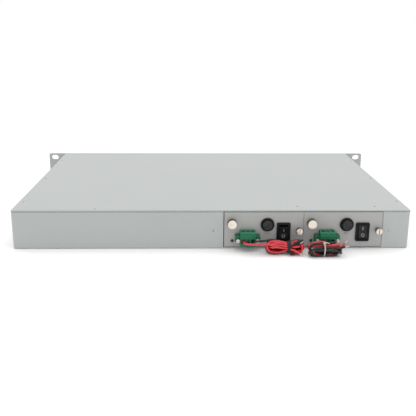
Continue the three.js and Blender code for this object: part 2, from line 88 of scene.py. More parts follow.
@dataclass(frozen=True)
class Finish:
    """A procedural finish: two tones in soft clouds, a varying gloss and a fine raised grain."""

    name: str
    colour: tuple[float, float, float]
    roughness: float
    metallic: float = 0.0
    surface: Surface = Surface.EVEN
    tone: float = 0.06
    cloud: float = 0.03
    grain: float = 0.0005
    depth: float = 0.00001
    gloss_change: float = 0.05
    coat: float = 0.0
    clear: float = 0.0
    shine: float = 0.5

    def material(self) -> bpy.types.Material:
        """Makes the material once and then hands out the same one.

        Returns:
            The material with this finish.
        """
        name = f"{self.name}_finish"
        made = bpy.data.materials.get(name)
        if made is not None:
            return made
        made = bpy.data.materials.new(name)
        made.use_nodes = True
        tree = made.node_tree
        shader = tree.nodes["Principled BSDF"]
        shader.inputs["Metallic"].default_value = self.metallic
        shader.inputs["Coat Weight"].default_value = self.coat
        shader.inputs["Coat Roughness"].default_value = 0.15
        shader.inputs["Transmission Weight"].default_value = self.clear
        shader.inputs["Specular IOR Level"].default_value = self.shine
        place = tree.nodes.new("ShaderNodeTexCoord")
        stretch = tree.nodes.new("ShaderNodeMapping")
        stretch.inputs["Scale"].default_value = self.surface.value
        tree.links.new(place.outputs["Object"], stretch.inputs["Vector"])
        clouds = self._noise(tree, stretch, self.cloud, 3.0)
        fine = self._noise(tree, stretch, self.grain, 2.0)
        self._colour(tree, clouds, shader)
        self._gloss(tree, fine, shader)
        self._grain(tree, fine, shader)
        return made

    @staticmethod
    def _noise(
        tree: bpy.types.NodeTree, stretch: bpy.types.Node, size: float, detail: float
    ) -> bpy.types.Node:
        """Adds a noise whose features have about that size.

        Args:
            tree: The material's node tree.
            stretch: The mapping that it reads.
            size: The size of its features, in metres.
            detail: How much finer detail it has.

        Returns:
            The noise node.
        """
        noise = tree.nodes.new("ShaderNodeTexNoise")
        noise.inputs["Scale"].default_value = 1 / size
        noise.inputs["Detail"].default_value = detail
        tree.links.new(stretch.outputs["Vector"], noise.inputs["Vector"])
        return noise

    def _colour(self, tree: bpy.types.NodeTree, clouds: bpy.types.Node, shader: bpy.types.Node) -> None:
        """Turns the clouds into two close tones of the colour."""
        tones = tree.nodes.new("ShaderNodeValToRGB")
        low, high = tones.color_ramp.elements
        low.position, high.position = 0.3, 0.7
        low.color = (*[c * (1 - self.tone) for c in self.colour], 1)
        high.color = (*[min(1.0, c * (1 + self.tone)) for c in self.colour], 1)
        tree.links.new(clouds.outputs["Fac"], tones.inputs["Fac"])
        tree.links.new(tones.outputs["Color"], shader.inputs["Base Color"])

    def _gloss(self, tree: bpy.types.NodeTree, fine: bpy.types.Node, shader: bpy.types.Node) -> None:
        """Lets the roughness vary a little with the grain."""
        spread = tree.nodes.new("ShaderNodeMapRange")
        spread.inputs["To Min"].default_value = max(0.02, self.roughness - self.gloss_change)
        spread.inputs["To Max"].default_value = min(1.0, self.roughness + self.gloss_change)
        tree.links.new(fine.outputs["Fac"], spread.inputs["Value"])
        tree.links.new(spread.outputs["Result"], shader.inputs["Roughness"])

    def _grain(self, tree: bpy.types.NodeTree, fine: bpy.types.Node, shader: bpy.types.Node) -> None:
        """Raises the grain above the surface."""
        bump = tree.nodes.new("ShaderNodeBump")
        bump.inputs["Strength"].default_value = 0.6
        bump.inputs["Distance"].default_value = self.depth
        tree.links.new(fine.outputs["Fac"], bump.inputs["Height"])
        tree.links.new(bump.outputs["Normal"], shader.inputs["Normal"])


class Finishes:
    """Every finish on the unit, by the name of the record's material slot."""

    chassis_paint = Finish(
        "chassis_paint", (0.375, 0.393, 0.385), 0.46, tone=0.012, cloud=0.09, depth=0.00002
    )
    faceplate_paint = Finish(
        "faceplate_paint", (0.345, 0.347, 0.338), 0.42, tone=0.015, cloud=0.05, depth=0.00002
    )
    zinc_sheet = Finish(
        "zinc_sheet", (0.42, 0.43, 0.44), 0.38, 1.0, Surface.BRUSHED_Y, tone=0.12, cloud=0.006, grain=0.0003
    )
    nickel_face = Finish("nickel_face", (0.70, 0.635, 0.56), 0.30, 1.0, tone=0.08, cloud=0.003, grain=0.0002)
    # Painted shade: a much darker copy of the nickel, on the knurled sides of the knob and the captive
    # screw.
    nickel_shaded_side = Finish("nickel_shaded_side", (0.20, 0.165, 0.125), 0.34, 1.0, tone=0.2, cloud=0.002, grain=0.0002)
    # Painted shade: a dark metal on the wire clamps, so that the plug's wire pockets read dark.
    clamp_pocket_shade = Finish("clamp_pocket_shade", (0.045, 0.045, 0.045), 0.4, 0.6, tone=0.2, cloud=0.002)
    # Painted shade: near black on the zinc rails, so that the gaps round the modules read dark.
    rail_gap_shade = Finish("rail_gap_shade", (0.012, 0.012, 0.013), 0.5, tone=0.2, cloud=0.01, shine=0.3)
    cap_black = Finish("cap_black", (0.007, 0.007, 0.0075), 0.28, tone=0.15, cloud=0.003, shine=0.42)
    terminal_green = Finish("terminal_green", (0.010, 0.130, 0.062), 0.42, tone=0.08, cloud=0.004, shine=0.3)
    black_plastic = Finish("black_plastic", (0.006, 0.006, 0.0065), 0.42, tone=0.15, cloud=0.005, shine=0.16)
    rocker_black = Finish("rocker_black", (0.010, 0.0095, 0.009), 0.34, tone=0.12, cloud=0.004, shine=0.25)
    dark_lens = Finish("dark_lens", (0.004, 0.026, 0.012), 0.12, tone=0.3, cloud=0.002, coat=0.4)
    clear_lens = Finish("clear_lens", (0.58, 0.62, 0.59), 0.16, tone=0.04, clear=0.35, coat=0.4)
    fuse_glass = Finish(
        "fuse_glass", (0.85, 0.87, 0.86), 0.08, tone=0.03, clear=0.9, grain=0.001, depth=0.000002
    )
    board_green = Finish(
        "board_green", (0.010, 0.074, 0.033), 0.34, tone=0.22, cloud=0.0025, grain=0.0009, coat=0.3
    )
    socket_cream = Finish("socket_cream", (0.52, 0.485, 0.40), 0.48, tone=0.05, cloud=0.008)
    ferrite = Finish("ferrite", (0.030, 0.027, 0.025), 0.62, tone=0.2, cloud=0.004, depth=0.00004)
    capacitor_sleeve = Finish("capacitor_sleeve", (0.012, 0.018, 0.055), 0.26, tone=0.1, coat=0.3)
    aluminium_bare = Finish(
        "aluminium_bare", (
            0.46, 0.47, 0.48
        ), 0.34, 1.0, Surface.BRUSHED_Y, tone=0.06, cloud=0.004, grain=0.0002
    )
    battery_wrap = Finish(
        "battery_wrap", (0.022, 0.062, 0.210), 0.28, surface=Surface.WRAPPED, tone=0.1, coat=0.3
    )
    red_insulation = Finish("red_insulation", (0.54, 0.007, 0.018), 0.22, tone=0.12, cloud=0.006, coat=0.5)
    black_insulation = Finish(
        "black_insulation", (0.005, 0.005, 0.0055), 0.20, tone=0.2, cloud=0.006, shine=0.35, coat=0.2
    )
    winding_tape = Finish(
        "winding_tape", (0.50, 0.31, 0.03), 0.36, surface=Surface.WRAPPED, tone=0.1, cloud=0.003
    )
    copper = Finish("copper", (0.52, 0.21, 0.10), 0.28, 1.0, tone=0.15, cloud=0.002, grain=0.0003)
    tinned = Finish("tinned", (0.54, 0.53, 0.52), 0.25, 1.0, tone=0.15, cloud=0.001, grain=0.0002)
    gold = Finish("gold", (0.58, 0.40, 0.14), 0.22, 1.0, tone=0.05, cloud=0.001, grain=0.0002)
    chip_black = Finish("chip_black", (0.014, 0.014, 0.015), 0.55, tone=0.12, cloud=0.002, shine=0.3)
    ink_grey = Finish("ink_grey", (0.050, 0.052, 0.055), 0.55, tone=0.1, cloud=0.002)
    mark_white = Finish("mark_white", (0.26, 0.26, 0.26), 0.5, tone=0.03, cloud=0.002)
    tie_black = Finish("tie_black", (0.006, 0.006, 0.0065), 0.32, tone=0.2, cloud=0.003, shine=0.4)
    tie_clear = Finish("tie_clear", (0.60, 0.58, 0.54), 0.30, tone=0.05, cloud=0.003, clear=0.3)
    floor_white = Finish("floor_white", (0.93, 0.93, 0.93), 0.7, tone=0.004, cloud=0.5, depth=0.00001)


def dress(piece: bpy.types.Object, *finishes: Finish) -> bpy.types.Object:
    """Gives a piece its finishes, one for each of its material slots.

    Args:
        piece: The piece or CAD node.
        finishes: What it wears.

    Returns:
        The same piece.
    """
    piece.data.materials.clear()
    for finish in finishes:
        piece.data.materials.append(finish.material())
    return piece


def two_toned(piece: bpy.types.Object, wanted, finish: Finish, other: Finish) -> bpy.types.Object:
    """Gives a piece one finish, and another on the faces for which wanted(centre, normal) is true."""
    dress(piece, finish, other)
    for face in piece.data.polygons:
        face.material_index = int(bool(wanted(face.center, face.normal)))
    return piece


# ---------------------------------------------------------------- modelling by hand


def only(*pieces: bpy.types.Object) -> bpy.types.Object:
    """Selects these pieces and nothing else, and makes the first of them active."""
    bpy.ops.object.select_all(action="DESELECT")
    for piece in pieces:
        piece.select_set(True)
    bpy.context.view_layer.objects.active = pieces[0]
    return pieces[0]


def settled(name: str) -> bpy.types.Object:
    """Names the active piece and moves its place, turn and scale into its mesh."""
    piece = bpy.context.active_object
    piece.name = name
    piece.data.name = name
    only(piece)
    bpy.ops.object.transform_apply(location=True, rotation=True, scale=True)
    return piece


def block(name: str, low: Point, high: Point) -> bpy.types.Object:
    """A box primitive between two corners."""
    bpy.ops.object.select_all(action="DESELECT")
    middle = [(a + b) / 2 for a, b in zip(low, high)]
    bpy.ops.mesh.primitive_cube_add(size=1, location=middle)
    bpy.context.active_object.scale = [b - a for a, b in zip(low, high)]
    return settled(name)


def rod(name: str, start: Point, end: Point, radius: float, sides: int = 32) -> bpy.types.Object:
    """A cylinder primitive between the middles of its two ends."""
    bpy.ops.object.select_all(action="DESELECT")
    low, high = Vector(start), Vector(end)
    bpy.ops.mesh.primitive_cylinder_add(
        vertices=sides, radius=radius, depth=(high - low).length, location=(low + high) / 2
    )
    piece = bpy.context.active_object
    piece.rotation_mode = "QUATERNION"
    piece.rotation_quaternion = (high - low).to_track_quat("Z", "Y")
    return settled(name)


def pick_faces(piece: bpy.types.Object, wanted) -> int:
    """Selects the faces for which wanted(centre, normal) is true.

    Args:
        piece: The mesh, in object mode.
        wanted: The test on a face's centre and normal.

    Returns:
        How many faces are selected.
    """
    mesh = piece.data
    for vertex in mesh.vertices:
        vertex.select = False
    for edge in mesh.edges:
        edge.select = False
    for face in mesh.polygons:
        face.select = bool(wanted(face.center, face.normal))
    return sum(face.select for face in mesh.polygons)


def pick_edges(piece: bpy.types.Object, wanted) -> int:
    """Selects the edges for which wanted(end, other end) is true, and returns how many."""
    mesh = piece.data
    for face in mesh.polygons:
        face.select = False
    for vertex in mesh.vertices:
        vertex.select = False
    spots = [vertex.co for vertex in mesh.vertices]
    for edge in mesh.edges:
        edge.select = bool(wanted(*[spots[i] for i in edge.vertices]))
    return sum(edge.select for edge in mesh.edges)


def turned(
    name: str, profile: list[tuple[float, float]], x: float, z: float, sides: int = 48
) -> bpy.types.Object:
    """A turned piece about an axis along Y, extruded and scaled from a disc, station by station.

    Args:
        name: The piece's name.
        profile: The radius and the Y of each station.
        x: The axis's place across.
        z: The axis's height.
        sides: How many sides it has.

    Returns:
        The piece.
    """
    bpy.ops.object.select_all(action="DESELECT")
    first, *rest = profile
    bpy.ops.mesh.primitive_circle_add(
        vertices=sides,
        radius=first[0],
        fill_type="NGON",
        location=(x, first[1], z),
        rotation=(math.pi / 2, 0, 0),
    )
    piece = settled(name)
    bpy.ops.object.mode_set(mode="EDIT")
    bpy.ops.mesh.select_all(action="SELECT")
    before = first
    for radius, y in rest:
        bpy.ops.mesh.extrude_region_move(TRANSFORM_OT_translate={"value": (0, y - before[1], 0)})
        share = radius / before[0]
        bpy.ops.transform.resize(value=(share, 1, share), center_override=(x, y, z))
        before = (radius, y)
    bpy.ops.mesh.select_all(action="SELECT")
    bpy.ops.mesh.normals_make_consistent(inside=False)
    bpy.ops.object.mode_set(mode="OBJECT")
    return piece


def modified(piece: bpy.types.Object, kind: str, **values) -> bpy.types.Object:
    """Adds a modifier with these values and applies it."""
    only(piece)
    modifier = piece.modifiers.new(kind.lower(), kind)
    for key, value in values.items():
        setattr(modifier, key, value)
    bpy.ops.object.modifier_apply(modifier=modifier.name)
    return piece


def eased(piece: bpy.types.Object, width: float, segments: int = 2, angle: float = 40) -> bpy.types.Object:
    """Rounds a piece's sharp edges and shades its flats flat.

    Args:
        piece: The mesh.
        width: The width of the rounding, in metres.
        segments: How many steps the rounding has.
        angle: The angle past which an edge is sharp, in degrees.

    Returns:
        The same piece.
    """
    modified(
        piece,
        "BEVEL",
        width=width,
        segments=segments,
        limit_method="ANGLE",
        angle_limit=math.radians(angle),
        use_clamp_overlap=True,
        miter_outer="MITER_ARC",
    )
    return shaded(piece, angle)


def shaded(piece: bpy.types.Object, angle: float = 40) -> bpy.types.Object:
    """Shades a piece smooth except over its sharp edges, weighted so that its flats stay flat."""
    only(piece)
    bpy.ops.object.shade_smooth_by_angle(angle=math.radians(angle))
    return modified(piece, "WEIGHTED_NORMAL", keep_sharp=True)


def rounded(piece: bpy.types.Object, wanted, radius: float, segments: int) -> bpy.types.Object:
    """Rounds the edges for which wanted(end, other end) is true."""
    pick_edges(piece, wanted)
    only(piece)
    bpy.ops.object.mode_set(mode="EDIT")
    bpy.ops.mesh.select_mode(type="EDGE")
    bpy.ops.mesh.bevel(offset=radius, segments=segments, affect="EDGES", clamp_overlap=True)
    bpy.ops.object.mode_set(mode="OBJECT")
    return piece


def cut(piece: bpy.types.Object, *tools: bpy.types.Object) -> bpy.types.Object:
    """Cuts each tool out of a piece and deletes the tools."""
    for tool in tools:
        modified(piece, "BOOLEAN", operation="DIFFERENCE", solver="EXACT", object=tool)
        bpy.data.objects.remove(tool)
    return piece


def joined(name: str, pieces: list[bpy.types.Object]) -> bpy.types.Object:
    """Makes several solids one piece."""
    only(*pieces)
    if len(pieces) > 1:
        bpy.ops.object.join()
    pieces[0].name = name
    pieces[0].data.name = name
    return pieces[0]


def copied(piece: bpy.types.Object, name: str, shift: Point) -> bpy.types.Object:
    """A copy of a piece with its own mesh, moved by a shift that goes into the mesh."""
    twin = piece.copy()
    twin.data = piece.data.copy()
    twin.name = name
    twin.data.name = name
    bpy.context.scene.collection.objects.link(twin)
    twin.data.transform(Matrix.Translation(shift))
    return twin


def rebuilt(frame: dict, node: str, name: str) -> bpy.types.Object:
    """A clean copy of a CAD node's solid, with its loose triangles merged and its flats made whole.

    Args:
        node: The node's name.
        name: The new piece's name.

    Returns:
        The new piece.
    """
    source = frame["nodes"][node]
    piece = bpy.data.objects.new(name, source.data.copy())
    piece.data.name = name
    piece.data.materials.clear()
    bpy.context.scene.collection.objects.link(piece)
    only(piece)
    if piece.data.has_custom_normals:
        bpy.ops.mesh.customdata_custom_splitnormals_clear()
    bpy.ops.object.mode_set(mode="EDIT")
    bpy.ops.mesh.select_all(action="SELECT")
    bpy.ops.mesh.remove_doubles(threshold=0.00002)
    bpy.ops.mesh.dissolve_limited(angle_limit=math.radians(1))
    bpy.ops.object.mode_set(mode="OBJECT")
    return piece


def poked(piece: bpy.types.Object, wanted, height: float) -> bpy.types.Object:
    """Raises a small pyramid on each face that is wanted, as a knurl has."""
    pick_faces(piece, wanted)
    only(piece)
    bpy.ops.object.mode_set(mode="EDIT")
    bpy.ops.mesh.select_mode(type="FACE")
    bpy.ops.mesh.poke(offset=height)
    bpy.ops.object.mode_set(mode="OBJECT")
    return piece


def strand(name: str, points: list[Point], radii: list[float], sides: int = 3) -> bpy.types.Object:
    """A round strand through the points, thicker and thinner by its radii, made a mesh."""
    curve = bpy.data.curves.new(name, "CURVE")
    curve.dimensions = "3D"
    curve.bevel_depth = 1.0
    curve.bevel_resolution = sides
    curve.use_fill_caps = True
    spline = curve.splines.new("NURBS")
    spline.points.add(len(points) - 1)
    for spot, place, radius in zip(spline.points, points, radii):
        spot.co = (*place, 1)
        spot.radius = radius
    spline.order_u = 3
    spline.use_endpoint_u = True
    spline.resolution_u = 6
    piece = bpy.data.objects.new(name, curve)
    bpy.context.scene.collection.objects.link(piece)
    only(piece)
    bpy.ops.object.convert(target="MESH")
    piece = bpy.context.active_object
    bpy.ops.object.shade_smooth_by_angle(angle=math.radians(50))
    return piece


def placed(
    piece: bpy.types.Object,
    body: str,
    slot: str,
    *nodes: str,
) -> bpy.types.Object:
    """Hands a finished piece to the frame: what it rides on and the nodes that it stands for.

    Args:
        piece: The finished piece.
        body: The CAD body that it moves with.
        slot: The record's material slot; not used.
        nodes: The CAD nodes that it replaces.

    Returns:
        The same piece.
    """
    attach(piece, body)
    if nodes:
        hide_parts(*nodes)
    LOG.info("%s rides on %s", piece.name, body)
    return piece


def middle_of(node: str) -> tuple[float, float, float, float]:
    """The axis of a turned node: its X, its outermost Y, its Z and its radius."""
    low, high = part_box(node)
    return (low.x + high.x) / 2, low.y, (low.z + high.z) / 2, (high.x - low.x) / 2


# ---------------------------------------------------------------- camera, light and floor


@dataclass
class Studio:
    """A white table under soft light, and the camera behind the unit, a little above it."""

    eye: Point = (-0.0202, -0.8138, 0.2382)
    pitch: float = 16.239
    yaw: float = 1.383
    roll: float = 0.323
    lens: float = 55.12
    sensor: float = 36.0
    sky: float = 1.12
    overhead: float = 8.0
    behind: float = 1.0

    def build(self) -> None:
        """Makes the camera, the lights, the world and the floor."""
        self._camera()
        self._lights()
        self._world()
        self._floor()

    def _camera(self) -> None:
        """Turns the camera by its pitch, yaw and roll."""
        pitch, yaw, roll = (math.radians(a) for a in (self.pitch, self.yaw, self.roll))
        ahead = Vector((math.sin(yaw) * math.cos(pitch), math.cos(yaw) * math.cos(pitch), -math.sin(pitch)))
        level = Vector((math.cos(yaw), -math.sin(yaw), 0))
        upright = level.cross(ahead)
        right = level * math.cos(roll) + upright * math.sin(roll)
        up = upright * math.cos(roll) - level * math.sin(roll)
        camera = bpy.data.objects.new("camera", bpy.data.cameras.new("camera"))
        camera.matrix_world = Matrix.Translation(self.eye) @ Matrix(
            (right, up, -ahead)
        ).transposed().to_4x4()
        camera.data.lens = self.lens
        camera.data.sensor_width = self.sensor
        camera.data.clip_start = 0.01
        bpy.context.scene.collection.objects.link(camera)
        bpy.context.scene.camera = camera

    def _lights(self) -> None:
        """A large soft light overhead and a weaker one behind the camera."""
        for name, place, size, power in (
            ("overhead_light", (0.15, 0.1, 1.6), 1.8, self.overhead),
            ("rear_light", (0.9, -1.9, 1.1), 1.4, self.behind),
        ):
            data = bpy.data.lights.new(name, "AREA")
            data.size, data.energy = size, power
            light = bpy.data.objects.new(name, data)
            light.location = place
            light.rotation_mode = "QUATERNION"
            light.rotation_quaternion = (-Vector(place)).to_track_quat("-Z", "Y")
            bpy.context.scene.collection.objects.link(light)

    def _world(self) -> None:
        """An even white surround, dimmer as light than as a backdrop."""
        world = bpy.data.worlds.new("studio")
        world.use_nodes = True
        tree = world.node_tree
        lit = tree.nodes["Background"]
        lit.inputs["Color"].default_value = (1, 1, 1, 1)
        lit.inputs["Strength"].default_value = self.sky
        seen = tree.nodes.new("ShaderNodeBackground")
        seen.inputs["Color"].default_value = (1, 1, 1, 1)
        seen.inputs["Strength"].default_value = 1.0
        choice = tree.nodes.new("ShaderNodeMixShader")
        path = tree.nodes.new("ShaderNodeLightPath")
        tree.links.new(path.outputs["Is Camera Ray"], choice.inputs["Fac"])
        tree.links.new(lit.outputs["Background"], choice.inputs[1])
        tree.links.new(seen.outputs["Background"], choice.inputs[2])
        tree.links.new(choice.outputs["Shader"], tree.nodes["World Output"].inputs["Surface"])
        bpy.context.scene.world = world
        bpy.context.scene.view_settings.view_transform = "Standard"

    def _floor(self) -> None:
        """A plain white floor under the unit."""
        bpy.ops.object.select_all(action="DESELECT")
        bpy.ops.mesh.primitive_plane_add(size=40, location=(0, 0, -0.0001))
        floor = settled("floor")
        dress(floor, Finishes.floor_white)


# ---------------------------------------------------------------- the leads


@dataclass
class Lead:
    """One wire: where it leaves the plug, how its turns lean, and how it ends."""

    colour: str
    finish: Finish
    route: list[Point]
    leans: list[tuple[float, float]]
    tail: list[Point]


@dataclass
class LeadHank:
    """A module's red and black lead, wound together into a flat hank that a tie pinches."""

    letter: str
    low_x: float
    high_x: float
    middle_y: float
    middle_z: float
    half_y: float
    half_z: float
    tie_x: float
    pinch: float
    heading: int
    entry: float
    turns: float
    fold: float
    leads: list[Lead]
    rear: float = 0.0
    wire: float = 0.0024
    step: float = 0.0016
    rounds: int = 240

    def build(self) -> None:
        """Winds the leads, settles them against each other, and makes their pieces."""
        body = f"lead_plug_{self.letter}"
        tie = self.tie()
        placed(tie, body, "black_insulation")
        for lead, line in zip(self.leads, self.settle()):
            name = f"{lead.colour}_wire_{self.letter}"
            tip = self.bare_tip(f"{lead.colour}_tip_{self.letter}", line)
            placed(tip, body, "nickel")
            cord = self.cord(name, line)
            dress(cord, lead.finish)
            nodes = [f"{lead.colour}_lead_{self.letter}", f"lead_hank_{self.letter}"]
            placed(cord, body, f"{lead.colour}_insulation", *nodes)

    # -- winding

    def racetrack(self, share: float) -> tuple[float, float]:
        """A place on a flat turn: two straight runs and two round folds.

        Args:
            share: How far round the turn it is, from the middle of the upper run.

        Returns:
            How far along and how far to the side it is from the turn's middle.
        """
        straight = self.high_x - self.low_x - 2 * self.fold
        bend = math.pi * self.fold
        along = (share % 1.0) * 2 * (straight + bend)
        for start, side in ((0.0, 1), (straight + bend, -1)):
            first = along - start
            if first < straight / 2:
                return side * first, side * self.fold
            if first < straight / 2 + bend:
                angle = (first - straight / 2) / self.fold
                return side * (
                    straight / 2 + self.fold * math.sin(angle)
                ), side * self.fold * math.cos(angle)
            if first < straight + bend:
                return side * (straight + bend - first), -side * self.fold
        return along - 2 * (straight + bend), self.fold

    def wound(self, lead: Lead, steps: int = 60) -> np.ndarray:
        """The turns of one lead, each leaning its own way about the hank's long axis."""
        middle_x = (self.low_x + self.high_x) / 2
        points = []
        for i in range(round(steps * (self.turns - self.entry)) + 1):
            share = self.entry + i / steps
            turn = int(max(0.0, share))
            ease = max(0.0, share) - turn
            ease = ease * ease * (3 - 2 * ease)
            last = len(lead.leans) - 1
            now, then = lead.leans[min(turn, last)], lead.leans[min(turn + 1, last)]
            lean = math.radians(now[0] + (then[0] - now[0]) * ease)
            aside = now[1] + (then[1] - now[1]) * ease
            along, side = self.racetrack(share)
            points.append(
                (
                    middle_x + self.heading * along,
                    self.middle_y - math.sin(lean) * side + math.cos(lean) * aside,
                    self.middle_z + math.cos(lean) * side + math.sin(lean) * aside,
                )
            )
        return np.array(points)

    def laid_out(self, lead: Lead) -> tuple[np.ndarray, int]:
        """The whole lead before it settles, evenly spaced, and how many of its points stay put."""
        start = smooth_line([(x * MM, self.rear + y * MM, z * MM) for x, y, z in lead.route])
        end = np.array([(x * MM, self.rear + y * MM, z * MM) for x, y, z in lead.tail])
        whole = spaced(np.vstack([start, self.wound(lead), end]), self.step / 2)
        whole = spaced(relaxed(whole, 9), self.step)
        held = round((line_length(start) - 0.002) / self.step)
        return whole, held

    # -- settling

    def settle(self) -> list[np.ndarray]:
        """Lets the two leads push each other apart inside the hank's outline until they lie side by side.

        Returns:
            The centreline of each lead, finely spaced.
        """
        laid = [self.laid_out(lead) for lead in self.leads]
        p = np.vstack([line for line, _ in laid])
        wire = np.concatenate([[k] * len(line) for k, (line, _) in enumerate(laid)])
        order = np.concatenate([np.arange(len(line)) for line, _ in laid])
        held = np.array([count for _, count in laid])[wire]
        last = np.array([len(line) for line, _ in laid])[wire]
        free = (order > held).astype(float)[:, None]
        kept_in = free * ((order >= held + 9) & (order < last - 9))[:, None]
        next_to = wire[1:] == wire[:-1]
        near = (wire[:, None] == wire[None, :]) & (np.abs(order[:, None] - order[None, :]) < 5)
        home = p.copy()
        for i in range(self.rounds):
            memory = 0.03 * max(0.0, 1 - i / (0.7 * self.rounds))
            p += free * (self.evened(p, wire) + memory * (home - p))
            for reach, radius in ((1, 0.0046), (2, 0.0052), (3, 0.0054)):
                p += free * self.unbent(p, wire, reach, radius)
            for _ in range(2):
                p += free * self.pushed_apart(p, near)
            p += kept_in * (self.gathered(p) - p) * 0.6
            for _ in range(4):
                p += free * self.pulled_even(p, next_to)
        lines = [relaxed(p[wire == k], 2) for k in range(len(laid))]
        return [spaced(smooth_line(line, 4), 0.0008) for line in lines]

    def evened(self, p: np.ndarray, wire: np.ndarray) -> np.ndarray:
        """The move that evens out a wire's bending without pulling it straight."""
        bend = np.zeros_like(p)
        inner = np.where((wire[1:-1] == wire[2:]) & (wire[1:-1] == wire[:-2]))[0] + 1
        bend[inner] = (p[inner - 1] + p[inner + 1]) / 2 - p[inner]
        change = np.zeros_like(p)
        change[inner] = (bend[inner - 1] + bend[inner + 1]) / 2 - bend[inner]
        return -0.2 * change

    def unbent(self, p: np.ndarray, wire: np.ndarray, reach: int, radius: float) -> np.ndarray:
        """The move that opens bends tighter than a radius, seen over some steps each way."""
        same = (wire[reach:-reach] == wire[2 * reach :]) & (wire[reach:-reach] == wire[: -2 * reach])
        i = np.where(same)[0] + reach
        bend = (p[i - reach] + p[i + reach]) / 2 - p[i]
        most = (reach * self.step) ** 2 / 2 / radius
        size = np.linalg.norm(bend, axis=1) + 1e-12
        part = np.maximum(0, 1 - most / size)[:, None] * bend * 0.3
        move = np.zeros_like(p)
        np.add.at(move, i, part)
        np.add.at(move, i - reach, -part / 2)
        np.add.at(move, i + reach, -part / 2)
        return move

    def pushed_apart(self, p: np.ndarray, near: np.ndarray) -> np.ndarray:
        """The move that keeps wires a diameter apart."""
        room = self.wire * 1.03
        away = p[:, None, :] - p[None, :, :]
        far = np.sqrt((away**2).sum(2)) + 1e-9
        hit = (far < room) & ~near
        push = (((room - far) / far) * hit)[:, :, None] * away * 0.5
        return push.sum(1) / np.sqrt(np.maximum(hit.sum(1), 1))[:, None]

    def gathered(self, p: np.ndarray) -> np.ndarray:
        """Where each point goes to lie inside the hank's outline and inside the tie."""
        middle = np.array([self.middle_y, self.middle_z])
        limit = self.pinch + np.maximum(0, np.abs(p[:, 0] - self.tie_x) - 0.0022) * 0.62
        out = p[:, 1:] - middle
        share = np.maximum(1, np.linalg.norm(out, axis=1) / limit)[:, None]
        q = np.column_stack([np.clip(p[:, 0], self.low_x, self.high_x), middle + out / share])
        half = np.array([self.half_y, self.half_z])
        q[:, 1:] = np.clip(q[:, 1:], middle - half, middle + half)
        return q

    def pulled_even(self, p: np.ndarray, next_to: np.ndarray) -> np.ndarray:
        """The move that keeps neighbouring points one step apart, so that a wire keeps its length."""
        span = p[1:] - p[:-1]
        long = np.linalg.norm(span, axis=1) + 1e-12
        part = ((long - self.step) / long * next_to)[:, None] * span * 0.45
        move = np.zeros_like(p)
        move[:-1] += part
        move[1:] -= part
        return move

    # -- pieces

    def cord(self, name: str, line: np.ndarray) -> bpy.types.Object:
        """A lead as a curve of its full length."""
        curve = bpy.data.curves.new(name, "CURVE")
        curve.dimensions = "3D"
        curve.bevel_depth = self.wire / 2
        curve.bevel_resolution = 4
        curve.use_fill_caps = True
        spline = curve.splines.new("POLY")
        spline.points.add(len(line) - 1)
        spline.points.foreach_set("co", np.column_stack([line, np.ones(len(line))]).ravel())
        spline.use_smooth = True
        piece = bpy.data.objects.new(name, curve)
        bpy.context.scene.collection.objects.link(piece)
        return piece

    def bare_tip(self, name: str, line: np.ndarray) -> bpy.types.Object:
        """A lead's stripped end: a few tinned strands twisted together."""
        end = Vector(line[-1])
        ahead = (end - Vector(line[-6])).normalized()
        across = ahead.orthogonal().normalized()
        other = ahead.cross(across)
        strands = []
        for k in range(5):
            points = []
            for i in range(7):
                angle = 2 * math.pi * k / 5 + 0.7 * i
                twist = (across * math.cos(angle) + other * math.sin(angle)) * 0.32 * MM
                points.append(end + ahead * (i * 0.8 - 0.6) * MM + twist)
            strands.append(strand(f"{name}_{k}", points, [0.3 * MM] * 7, 2))
        return dress(joined(name, strands), Finishes.tinned)

    def band(
        self, radius_y: float, radius_z: float, width: float, thick: float, height: float
    ) -> bpy.types.Object:
        """A strap round the bundle at the tie's place."""
        bpy.ops.object.select_all(action="DESELECT")
        bpy.ops.mesh.primitive_torus_add(
            location=(self.tie_x, self.middle_y, height),
            rotation=(0, math.pi / 2, 0),
            major_segments=40,
            minor_segments=10,
            major_radius=1,
            minor_radius=0.1,
        )
        ring = settled("band")
        spots = np.array([v.co for v in ring.data.vertices]) - [self.tie_x, self.middle_y, height]
        out = np.hypot(spots[:, 1], spots[:, 2])
        away = (out - 1) / 0.1 * thick / 2
        y = spots[:, 1] / out * (radius_y + away)
        z = spots[:, 2] / out * (radius_z + away)
        x = spots[:, 0] / 0.1 * width / 2
        for vertex, place in zip(ring.data.vertices, zip(x, y, z)):
            vertex.co = Vector(place) + Vector((self.tie_x, self.middle_y, height))
        only(ring)
        bpy.ops.object.shade_smooth()
        return ring

